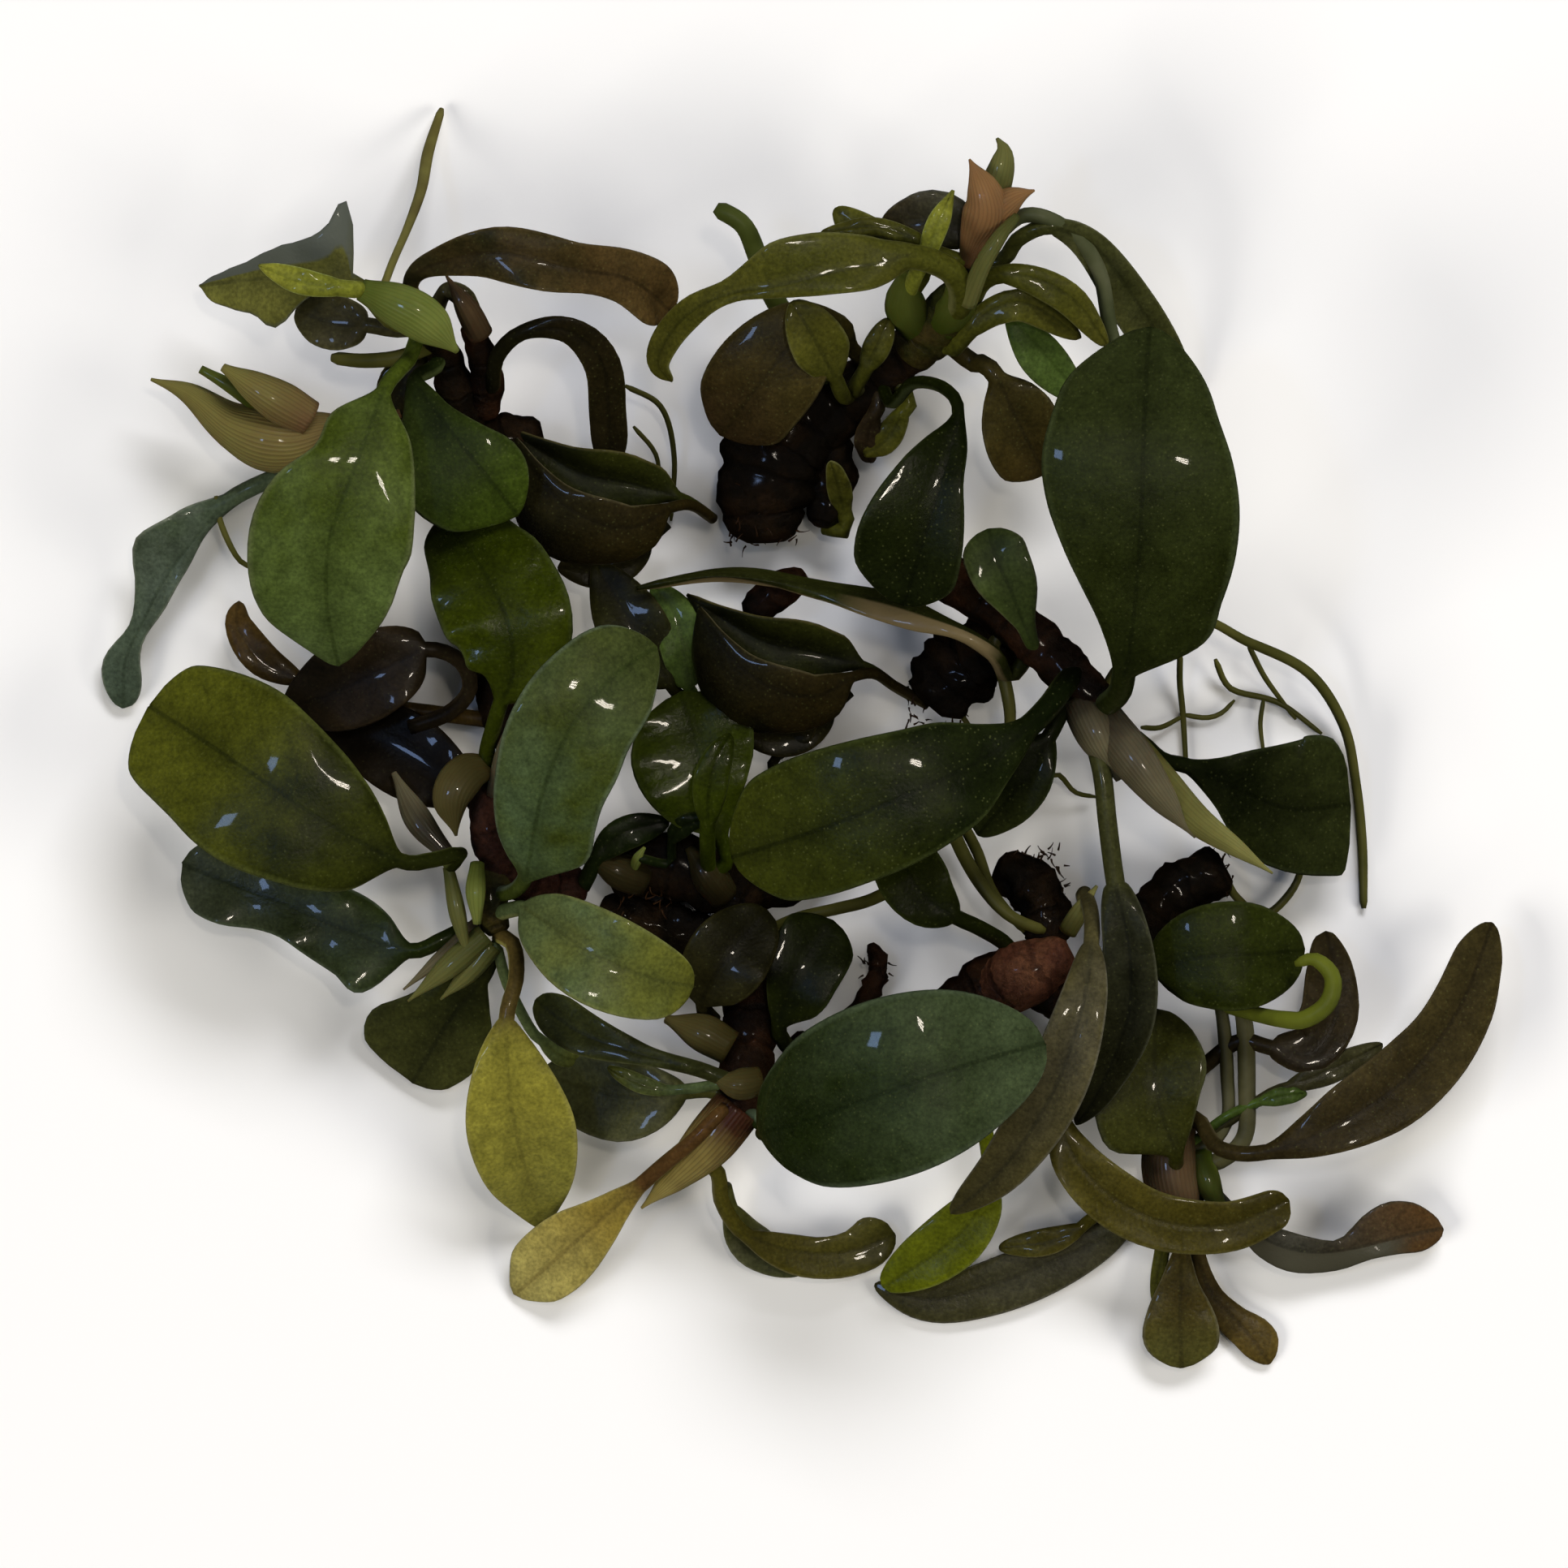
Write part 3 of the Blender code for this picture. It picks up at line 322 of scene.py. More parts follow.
def sheath_skin(name, foot, point, streak, ribbing=0.35):
    """Skin of a sheath: pink or pale at its foot and running to green, with fine darker ribs along it."""
    skin, tree, shader, place = new_skin(name)
    share = add(tree, "Attribute", attribute_name="share").outputs["Fac"]
    around = add(tree, "Attribute", attribute_name="around").outputs["Fac"]
    cloud = add(tree, "TexNoise", {"Vector": place, "Scale": 1 / 0.0018, "Detail": 3.0})
    blend = add(tree, "Math", {0: cloud, 1: 0.7, 2: share}, operation="MULTIPLY_ADD")
    to_point = add(tree, "MapRange", {"Value": blend, "From Min": 0.35, "From Max": 1.15})
    body = add(tree, "Mix", {"Factor": to_point, "A": linear(foot), "B": linear(point)}, data_type="RGBA")
    ribs = add(tree, "Math", {0: around, 1: 2 * math.pi / RIB_GAP}, operation="MULTIPLY")
    wave = add(tree, "Math", {0: ribs}, operation="SINE")
    line = add(tree, "MapRange", {"Value": wave, "From Min": 0.2, "From Max": 1.0, "To Max": ribbing})
    lined = add(tree, "Mix", {"Factor": line, "A": body, "B": linear(streak)}, data_type="RGBA")
    rough = add(tree, "MapRange", {"Value": cloud, "To Min": 0.3, "To Max": 0.5})
    bump = add(tree, "Bump", {"Height": wave, "Strength": 0.6 * ribbing, "Distance": 0.00008})
    # The scales are thin enough for light to spread a third of a millimetre inside them.
    feed(shader, {"Base Color": lined, "Roughness": rough, "Normal": bump, "Specular IOR Level": 0.3,
                  "Coat Weight": 0.5, "Coat Roughness": 0.06, "Subsurface Weight": 0.15,
                  "Subsurface Scale": 0.0003})
    return skin


def sheath(name, places, radii, skin, node=None, flatten=1.0):
    """A rolled sheath along the places, with its share of the length and its way round kept for its skin."""
    thinnest, overlap = 0.04, 0.06
    line, distances, sections = ringed_line(places, FINE_STEP, 12)
    crown_points.extend(line[:len(line) // 2])
    work = unit_tube(20, len(distances))
    share_mark = work.verts.layers.float.new("share")
    around_mark = work.verts.layers.float.new("around")
    for vertex in work.verts:
        ring = round(vertex.co.z)
        point, up, side = sections[ring]
        share = ring / (len(distances) - 1)
        radius = max(between(radii, share), thinnest)
        angle = abs(math.atan2(vertex.co.x, -vertex.co.y))
        rolled = overlap * radius * math.cos(2 * math.atan2(vertex.co.y, vertex.co.x) + 2.5 * share)
        vertex[share_mark] = share
        vertex[around_mark] = angle * max(radii)
        out = side * vertex.co.x + up * vertex.co.y * flatten
        vertex.co = (point + out * (radius - overlap * radius + rolled)) * MM
    return grown(name, work, skin, node)


bulb_sheath = sheath_skin("brown pink to olive bud", "#604a30", "#706a36", "#45341f", 0.4)
pink_sheath = sheath_skin("pinkish brown sheath", "#543c26", "#7c5c38", "#422e1c", 0.3)
beige_sheath = sheath_skin("beige olive sheath", "#322c12", "#4a4324", "#26200e", 0.2)
grey_sheath = sheath_skin("grey lavender sheath", "#332d22", "#5f5941", "#241f16", 0.25)
cream_sheath = sheath_skin("olive to cream spear", "#3a3714", "#74723f", "#2c2a0f", 0.2)
pale_sheath = sheath_skin("pale green sheath", "#3c3f1c", "#5d5d31", "#2c2e14", 0.2)
tail_sheath = sheath_skin("purple brown to beige sheath", "#3a2014", "#8a7d42", "#2a140c", 0.35)
brown_sheath = sheath_skin("dark olive brown sheath", "#1f1a0b", "#302a15", "#151108", 0.2)
foot_sheath = sheath_skin("wet brown petiole foot", "#3c2e1d", "#54432c", "#2a1f14", 0.22)
lime_sheath = sheath_skin("fresh yellow-green bud", "#48521c", "#6a7236", "#3c4616", 0.28)
green_sheath = sheath_skin("smooth green petiole foot", "#2f380c", "#474e1c", "#242b08", 0.06)

sheath("northwest_bud", [(22.3, 17.9, 11.0), (24.2, 18.7, 11.4), (26.2, 19.8, 11.4), (28.2, 21.7, 10.2)],
       [0.7, 1.4, 1.4, 0.2], lime_sheath, "bud_northwest", flatten=0.72)
sheath("northwest_scale", [(29.6, 20.6, 8.4), (28.7, 18.9, 9.8), (27.5, 17.0, 10.0)], [0.8, 0.75, 0.08],
       foot_sheath)
sheath("west_bulb", [(24.6, 25.4, 4.8), (22.4, 26.0, 5.0), (20.0, 26.6, 5.4), (17.6, 27.1, 5.4),
        (14.4, 26.2, 4.9), (11.6, 24.2, 4.4), (9.2, 23.3, 4.0)], [0.3, 0.6, 1.6, 2.2, 1.45, 0.8, 0.12],
       bulb_sheath, "bud_west_bulb")
sheath("west_bulb_spear", [(19.0, 25.8, 6.4), (16.8, 24.5, 7.0), (15.0, 23.4, 7.0), (13.7, 22.6, 6.8)],
       [1.2, 1.35, 1.0, 0.3], bulb_sheath)
sheath("west_bulb_shoot", [(16.4, 25.4, 5.4), (14.4, 23.9, 5.6), (12.3, 22.7, 5.4)], [0.5, 0.5, 0.3],
       green_sheath)
sheath("north_sheath", [(60.8, 13.2, 9.8), (61.3, 11.6, 10.6), (61.7, 10.3, 11.0), (61.8, 9.3, 11.0),
        (61.4, 8.6, 10.8)], [0.7, 0.95, 0.95, 0.7, 0.12], pale_sheath, "sheath_north")
sheath("north_sheath_left", [(59.4, 16.4, 9.8), (60.0, 14.7, 10.6), (60.7, 13.0, 11.4), (60.5, 11.6, 11.8),
        (59.7, 9.9, 11.4)], [0.4, 0.9, 1.45, 1.0, 0.08], pink_sheath)
sheath("north_sheath_right", [(60.4, 14.8, 10.4), (61.3, 13.2, 11.0), (62.4, 12.3, 11.2),
        (63.7, 11.8, 10.9)], [0.7, 1.2, 0.9, 0.08], pink_sheath)
sheath("north_sheath_front", [(62.6, 13.4, 11.4), (61.6, 14.6, 12.2), (60.5, 16.4, 11.8), (59.6, 18.6, 9.8)],
       [0.3, 0.5, 0.6, 0.7], pale_sheath)
sheath("east_sheath", [(66.6, 43.2, 8.8), (67.6, 45.4, 9.6), (68.9, 48.1, 9.5)], [1.3, 1.25, 0.2],
       grey_sheath)
sheath("east_sheath_b", [(68.0, 44.4, 9.0), (69.8, 46.8, 10.1), (71.6, 49.2, 10.2), (73.6, 51.6, 9.2)],
       [1.3, 1.4, 0.95, 0.08], grey_sheath)
sheath("east_spear", [(69.6, 45.6, 8.8), (71.5, 48.2, 9.5), (73.7, 50.5, 9.2), (76.1, 52.2, 8.4),
        (78.4, 53.8, 7.4)], [0.9, 1.15, 1.0, 0.65, 0.08], cream_sheath, "spear_east")
sheath("west_flap", [(30.4, 47.2, 6.8), (28.8, 47.6, 8.0), (27.8, 49.2, 8.4), (28.1, 51.5, 8.0)],
       [0.7, 1.3, 1.2, 0.1], beige_sheath, flatten=0.6)
sheath("west_wet_sheath", [(27.6, 52.7, 6.0), (25.8, 50.6, 5.6), (24.2, 47.6, 4.6)], [0.5, 0.9, 0.2],
       grey_sheath, flatten=0.6)
sheath("west_tall_sheath", [(30.4, 49.0, 7.0), (31.1, 46.2, 8.2), (32.2, 43.2, 8.8)], [0.5, 0.55, 0.25],
       grey_sheath)
sheath("west_low_spear", [(29.9, 57.6, 6.4), (27.8, 59.4, 6.4), (25.1, 61.7, 6.1)], [0.8, 0.75, 0.08],
       pale_sheath)
sheath("west_low_spear_b", [(30.3, 58.2, 6.2), (28.8, 60.0, 6.0), (27.1, 61.6, 5.8)], [0.7, 0.65, 0.08],
       pale_sheath)
sheath("west_low_spear_c", [(29.6, 56.8, 5.6), (27.4, 58.8, 5.2), (24.8, 61.0, 4.8)], [0.5, 0.5, 0.08],
       grey_sheath)
sheath("west_green_spear", [(29.4, 53.2, 7.2), (29.3, 55.0, 8.0), (29.4, 56.9, 7.6)], [0.45, 0.65, 0.3],
       lime_sheath)
sheath("west_pale_spear", [(27.6, 53.4, 7.0), (28.2, 56.4, 7.2), (28.9, 59.3, 6.6)], [0.35, 0.55, 0.1],
       pale_sheath)
sheath("hub_sheath_left", [(39.6, 54.2, 3.6), (38.0, 53.6, 4.4), (36.2, 52.8, 4.6)], [1.1, 1.15, 0.3],
       brown_sheath)
sheath("hub_sheath_right", [(44.6, 55.2, 3.8), (43.6, 53.9, 4.8), (42.4, 52.2, 5.0)], [1.0, 1.1, 0.3],
       brown_sheath)
sheath("hub_sprout", [(39.0, 53.6, 4.8), (39.3, 52.8, 5.4), (39.7, 52.2, 5.6)], [0.22, 0.34, 0.12],
       lime_sheath)
sheath("south_tail", [(45.5, 68.2, 5.6), (43.6, 70.5, 5.4), (41.7, 72.4, 4.6), (39.5, 74.5, 3.4)],
       [1.6, 1.6, 1.0, 0.1], tail_sheath)
sheath("south_olive_sheath", [(45.0, 64.6, 6.0), (43.2, 63.6, 6.0), (41.0, 62.8, 5.4)], [1.1, 1.2, 0.3],
       beige_sheath)
sheath("south_beige_sheath", [(46.8, 66.6, 6.8), (45.4, 66.8, 7.2), (44.0, 66.4, 7.0)], [0.9, 1.0, 0.3],
       beige_sheath)
sheath("southeast_foot", [(72.3, 69.4, 2.3), (72.1, 72.0, 2.6), (72.6, 74.4, 2.5), (73.2, 76.4, 2.1)],
       [1.5, 1.75, 1.6, 0.9], foot_sheath)
sheath("southeast_green", [(74.0, 71.0, 2.4), (74.6, 73.2, 2.8), (75.6, 74.9, 2.4)], [0.7, 0.85, 0.3],
       green_sheath)
sheath("southeast_hook", [(65.8, 57.4, 4.8), (66.9, 55.6, 5.8), (67.6, 54.6, 5.4)], [0.6, 0.55, 0.12],
       cream_sheath)
sheath("north_base", [(58.0, 20.2, 7.4), (59.0, 18.8, 8.4), (59.0, 17.4, 9.4)], [1.1, 1.3, 0.8],
       green_sheath)
sheath("north_base_b", [(56.6, 20.4, 6.8), (55.7, 18.6, 8.4), (56.0, 16.9, 9.6)], [1.0, 1.35, 0.7],
       green_sheath)

# Roots. Olive roots run out over the surface, smooth and round, 0.3 to 0.9 mm thick and matt to moist; the
# bare and broken petioles among them are as round, and some are thicker.
def root_skin(name, colour, tip):
    """Skin of a thin root: one earthy green that pales and browns every few millimetres."""
    skin, tree, shader, place = new_skin(name)
    stretch = add(tree, "TexNoise", {"Vector": place, "Scale": 1 / 0.003, "Detail": 3.0})
    pick = add(tree, "MapRange", {"Value": stretch, "From Min": 0.35, "From Max": 0.65})
    earthy = add(tree, "Mix", {"Factor": pick, "A": linear(colour), "B": linear(tip)}, data_type="RGBA")
    fine = add(tree, "TexNoise", {"Vector": place, "Scale": 1 / 0.00025, "Detail": 2.0})
    bump = add(tree, "Bump", {"Height": fine, "Strength": 0.3, "Distance": 0.00005})
    feed(shader, {"Base Color": earthy, "Normal": bump, "Roughness": 0.42, "Specular IOR Level": 0.35})
    return skin


def root(name, places, radii, skin, node=None):
    """A root that starts inside the stem beside it."""
    places, added = rooted(places, 2.4)
    return stem(name, places, [radii[0]] * added + radii, skin, "root", node, sides=10)


olive_root = root_skin("olive root", "#3a3a16", "#4c4a20")
brown_root = root_skin("brown green root", "#4e4622", "#686430")
pale_root = root_skin("pale old petiole", "#3e3c22", "#56543a")
green_root = root_skin("green broken petiole", "#343b13", "#4a5224")
blue_root = root_skin("bluish green petiole", "#383d24", "#4e5038")

root("north_shoot", [(23.4, 18.4, 10.4), (24.2, 16.2, 9.0), (25.1, 14.0, 7.2), (25.9, 11.6, 4.6),
      (26.3, 9.2, 2.2), (27.1, 6.5, 0.45)], [0.26, 0.26, 0.32, 0.36, 0.36, 0.26], brown_root, "shoot_north")
root("east_arc", [(67.9, 42.6, 8.6), (69.5, 40.5, 7.6), (73.6, 38.2, 6.0), (76.9, 39.5, 4.6),
      (80.7, 41.4, 2.8), (82.9, 44.6, 1.3), (83.7, 48.2, 0.6), (84.1, 52.0, 0.4), (84.2, 56.0, 0.36)],
     [0.3, 0.3, 0.3, 0.34, 0.34, 0.32, 0.3, 0.3, 0.24], olive_root, "root_arc")
ROOT_RUNS = [
    ("root_net_a", [(72.8, 40.2, 2.2), (72.8, 42.0, 1.0), (73.0, 44.0, 0.5), (73.2, 47.2, 0.4)], 0.2),
    ("root_net_b", [(73.0, 44.0, 0.5), (74.4, 44.2, 0.45), (75.4, 43.9, 0.45), (76.2, 43.1, 0.5)], 0.17),
    ("root_net_c", [(75.0, 40.6, 1.4), (75.6, 42.0, 0.6), (76.4, 42.6, 0.5), (79.0, 43.3, 0.4),
                    (81.6, 45.2, 0.4)], 0.2),
    ("root_net_d", [(77.0, 39.7, 3.0), (78.0, 41.6, 1.2), (79.0, 43.0, 0.5), (80.0, 44.3, 0.4)], 0.18),
    ("root_net_e", [(78.0, 43.0, 0.5), (77.8, 44.6, 0.4), (78.0, 46.4, 0.35)], 0.15),
    ("root_net_f", [(70.4, 44.8, 1.4), (71.6, 44.8, 0.8), (73.0, 44.1, 0.5)], 0.17),
    ("root_north_a", [(38.5, 23.7, 4.0), (40.7, 25.0, 3.0), (41.5, 28.0, 1.6), (41.3, 32.0, 0.5)], 0.18),
    ("root_north_b", [(39.0, 26.2, 2.4), (40.4, 28.0, 1.4), (40.6, 30.6, 0.5)], 0.15),
    ("root_east_a", [(58.6, 43.0, 2.6), (61.0, 46.4, 2.0), (63.8, 48.2, 2.2), (65.2, 47.7, 2.0),
                     (66.3, 48.8, 1.2), (67.6, 49.1, 0.7)], 0.18),
    ("root_east_b", [(61.2, 39.8, 7.6), (61.8, 41.6, 7.4), (62.2, 43.6, 7.6), (62.2, 45.4, 8.6)], 0.42),
    ("root_west_a", [(13.2, 30.5, 3.6), (13.5, 32.2, 3.4), (14.5, 34.3, 3.0), (15.5, 35.0, 2.6)], 0.2),
    ("root_middle_a", [(58.0, 48.6, 2.8), (58.9, 51.6, 3.6), (60.4, 54.4, 4.6), (62.2, 56.4, 5.2),
                       (64.4, 57.4, 4.8)], 0.45),
    ("root_middle_b", [(58.8, 49.8, 2.6), (60.2, 52.4, 3.2), (61.2, 55.0, 4.2), (63.2, 57.4, 4.6)], 0.36),
    ("root_south_a", [(56.4, 54.0, 4.8), (53.8, 55.4, 3.6), (51.6, 56.0, 3.4), (49.0, 56.6, 3.0),
                      (46.8, 57.6, 2.4)], 0.4),
    ("root_southeast_a", [(76.2, 55.2, 1.6), (78.0, 56.4, 1.0), (79.8, 54.8, 0.8), (80.6, 52.6, 0.6)], 0.26),
]
for name, places, radius in ROOT_RUNS:
    root(name, places, [radius, radius, radius * 0.8], olive_root)
root("pale_petiole_a", [(73.2, 72.2, 2.2), (75.4, 71.5, 2.6), (76.8, 70.0, 3.0), (76.9, 67.0, 3.2),
      (76.8, 63.5, 3.4), (76.4, 61.4, 3.8)], [0.5, 0.55, 0.55, 0.58, 0.58, 0.5], pale_root)
root("pale_petiole_b", [(72.8, 71.0, 2.2), (74.6, 70.6, 2.6), (75.7, 69.0, 2.8), (75.7, 66.4, 3.0),
      (75.5, 63.5, 3.2), (75.2, 61.6, 3.4)], [0.4, 0.42, 0.42, 0.45, 0.45, 0.4], pale_root)
root("broken_petiole", [(51.6, 24.6, 3.8), (50.2, 22.4, 4.8), (47.5, 18.0, 6.6), (46.7, 15.9, 8.0),
      (45.8, 13.9, 8.8), (44.1, 12.8, 8.8)], [0.7, 0.7, 0.7, 0.65, 0.62, 0.58], green_root)
root("blue_petiole", [(61.2, 14.8, 9.4), (62.8, 13.4, 9.8), (64.5, 13.5, 9.8), (66.5, 14.8, 9.0),
      (67.8, 17.0, 8.2), (68.4, 20.2, 7.4), (69.4, 23.4, 6.8)], [0.45, 0.5, 0.5, 0.5, 0.48, 0.45, 0.4],
     blue_root)
root("northwest_petiole", [(20.4, 22.0, 6.0), (22.4, 22.2, 6.6), (24.6, 22.0, 7.2), (26.8, 21.2, 7.6)],
     [0.42, 0.48, 0.5, 0.5], olive_root)
root("lime_loop", [(75.4, 62.0, 3.8), (77.4, 62.5, 5.4), (79.0, 62.8, 6.9), (80.4, 62.8, 7.7),
      (81.8, 61.8, 8.0), (82.1, 60.2, 7.8), (81.0, 59.1, 7.6), (79.8, 59.4, 7.4)],
     [0.4, 0.45, 0.5, 0.56, 0.58, 0.56, 0.5, 0.3], root_skin("fresh green sprout", "#454b15", "#5a611b"))

# Leaves of the northwest crown. Thick, leathery leaves on round petioles, each with one sunk dark midrib,
# faint side veins and fine pale specks under a waxy skin that shines where the light falls square on it.
LEAF_MARKS = ("share", "reach", "along", "off_rib", "above")
SPECK = "#767c46"
VEIN_GAP = 2.2


def leaf_skin(name, base, second, tip, rib_and_shade, under, shine=0.3, specks=0.16, veins=0.14, petiole=None,
              turned=0, until=1.2):
    """Skin of a living leaf: two clouded greens, a third towards its tip, midrib with painted shade in the
    trough beside it, side veins and specks.

    The petiole has the first green unless it is given its own. Past turned, the right half shows its
    underside, or the left half where turned is negative, as far as the share of the blade called until.
    """
    skin, tree, shader, place = new_skin(name)
    share, reach, along, off_rib, above = [
        add(tree, "Attribute", attribute_name=word).outputs["Fac"] for word in LEAF_MARKS]
    # Clouding runs over 3 to 4 mm, and the cells of the skin are drawn at 0.2 mm so that they show. Between
    # the two are blotches a millimetre across, where the leaf is thicker or paler.
    cloud = add(tree, "TexNoise", {"Vector": place, "Scale": 1 / 0.0038, "Detail": 4.0})
    cells = add(tree, "TexNoise", {"Vector": place, "Scale": 1 / 0.00022, "Detail": 3.0})
    blotch = add(tree, "TexNoise", {"Vector": place, "Scale": 1 / 0.0011, "Detail": 3.0, "Roughness": 0.6})
    pick = add(tree, "MapRange", {"Value": cloud, "From Min": 0.36, "From Max": 0.66})
    body = add(tree, "Mix", {"Factor": pick, "A": linear(base), "B": linear(second)}, data_type="RGBA")
    shifted = add(tree, "Math", {0: cloud, 1: 0.5, 2: share}, operation="MULTIPLY_ADD")
    to_tip = add(tree, "MapRange", {"Value": shifted, "From Min": 0.55, "From Max": 1.2})
    blade = add(tree, "Mix", {"Factor": to_tip, "A": body, "B": linear(tip)}, data_type="RGBA")
    stalked = add(tree, "MapRange", {"Value": along, "From Min": -0.3, "From Max": 1.6})
    whole = add(tree, "Mix", {"Factor": stalked, "A": linear(petiole or base), "B": blade}, data_type="RGBA")
    # The midrib is 0.3 mm wide at its foot, and the trough on both sides of it is painted darker, as shade,
    # for some 1.5 mm.
    side = add(tree, "Math", {0: off_rib}, operation="ABSOLUTE")
    midrib = add(tree, "MapRange", {"Value": side, "From Min": 0.08, "From Max": 0.34, "To Min": 0.64,
                                    "To Max": 0.0})
    trough = add(tree, "MapRange", {"Value": side, "From Min": 0.2, "From Max": 1.7, "To Min": 0.34,
                                    "To Max": 0.0}, interpolation_type="SMOOTHSTEP")
    sunk = add(tree, "Math", {0: midrib, 1: trough}, operation="MAXIMUM")
    # Side veins leave it 2.2 mm apart and bend towards the tip.
    slant = add(tree, "Math", {0: side, 1: -1.15, 2: along}, operation="MULTIPLY_ADD")
    wander = add(tree, "Math", {0: cloud, 1: 3.5}, operation="MULTIPLY")
    turn = add(tree, "Math", {0: slant, 1: 2 * math.pi / VEIN_GAP, 2: wander}, operation="MULTIPLY_ADD")
    wave = add(tree, "Math", {0: turn}, operation="SINE")
    vein = add(tree, "MapRange", {"Value": wave, "From Min": 0.55, "From Max": 1.0, "To Max": veins})
    lines = add(tree, "Math", {0: sunk, 1: vein}, operation="MAXIMUM")
    on_blade = add(tree, "MapRange", {"Value": along, "From Min": -0.4, "From Max": 0.6})
    drawn = add(tree, "Math", {0: lines, 1: on_blade}, operation="MULTIPLY")
    # Midrib, side veins and the painted shade of the trough all take the midrib's colour.
    lined_and_shaded = add(tree, "Mix", {"Factor": drawn, "A": whole, "B": linear(rib_and_shade)}, data_type="RGBA")
    edge = add(tree, "Math", {0: reach}, operation="ABSOLUTE")
    rim = add(tree, "MapRange", {"Value": edge, "From Min": 0.91, "From Max": 0.99, "To Max": 0.6})
    rimmed = add(tree, "Mix", {"Factor": rim, "A": lined_and_shaded, "B": linear(under)}, data_type="RGBA")
    # Specks are under 0.1 mm across, one in every third of a millimetre.
    dots = add(tree, "TexVoronoi", {"Vector": place, "Scale": 1 / 0.00034})
    speck = add(tree, "MapRange", {"Value": dots, "From Min": 0.06, "From Max": 0.24, "To Min": 0.7 * specks,
                                   "To Max": 0.0})
    specked = add(tree, "Mix", {"Factor": speck, "A": rimmed, "B": linear(SPECK)}, data_type="RGBA")
    uneven = add(tree, "MapRange", {"Value": blotch, "From Min": 0.3, "From Max": 0.7, "To Min": 0.78,
                                    "To Max": 1.2})
    fine = add(tree, "MapRange", {"Value": cells, "From Min": 0.3, "From Max": 0.7, "To Min": 0.72,
                                  "To Max": 1.24})
    tone = add(tree, "Math", {0: uneven, 1: fine}, operation="MULTIPLY")
    toned = add(tree, "Mix", {"Factor": 1.0, "A": specked, "B": tone}, data_type="RGBA",
                blend_type="MULTIPLY")
    faced = add(tree, "MapRange", {"Value": above, "From Min": -0.12, "From Max": 0.12})
    if turned:
        below = add(tree, "MapRange", {"Value": reach, "From Min": turned - 0.04, "From Max": turned + 0.04,
                                       "To Min": float(turned < 0), "To Max": float(turned > 0)})
        short = add(tree, "MapRange", {"Value": share, "From Min": until - 0.12, "From Max": until,
                                       "To Min": 1.0, "To Max": 0.0})
        below = add(tree, "Math", {0: below, 1: short}, operation="MULTIPLY")
        below = add(tree, "Math", {0: below, 1: on_blade}, operation="MULTIPLY")
        faced = add(tree, "Math", {0: faced, 1: below}, operation="SUBTRACT", use_clamp=True)
    face = add(tree, "Mix", {"Factor": faced, "A": linear(under), "B": toned}, data_type="RGBA")
    rough = add(tree, "MapRange", {"Value": cloud, "From Min": 0.3, "From Max": 0.7, "To Min": shine + 0.04,
                                   "To Max": shine + 0.18})
    grain = add(tree, "Math", {0: blotch, 1: 2.5, 2: cells}, operation="MULTIPLY_ADD")
    height = add(tree, "Math", {0: grain, 1: drawn}, operation="SUBTRACT")
    bump = add(tree, "Bump", {"Height": height, "Strength": 0.3, "Distance": 0.00006})
    # The wax and the moisture on it: a thin clear coat that draws the ceiling lamps as small sharp glints.
    feed(shader, {"Base Color": face, "Roughness": rough, "Normal": bump, "Specular IOR Level": 0.26,
                  "Coat Weight": 0.3, "Coat Roughness": 0.045})
    return skin


def oval(widest, ends, share):
    """How wide an oval blade is at a share of its length, where it is 1 at its widest."""
    if share < widest:
        return math.sin(math.pi / 2 * share / widest) ** ends[0]
    return math.cos(math.pi / 2 * (share - widest) / (1 - widest)) ** ends[1]


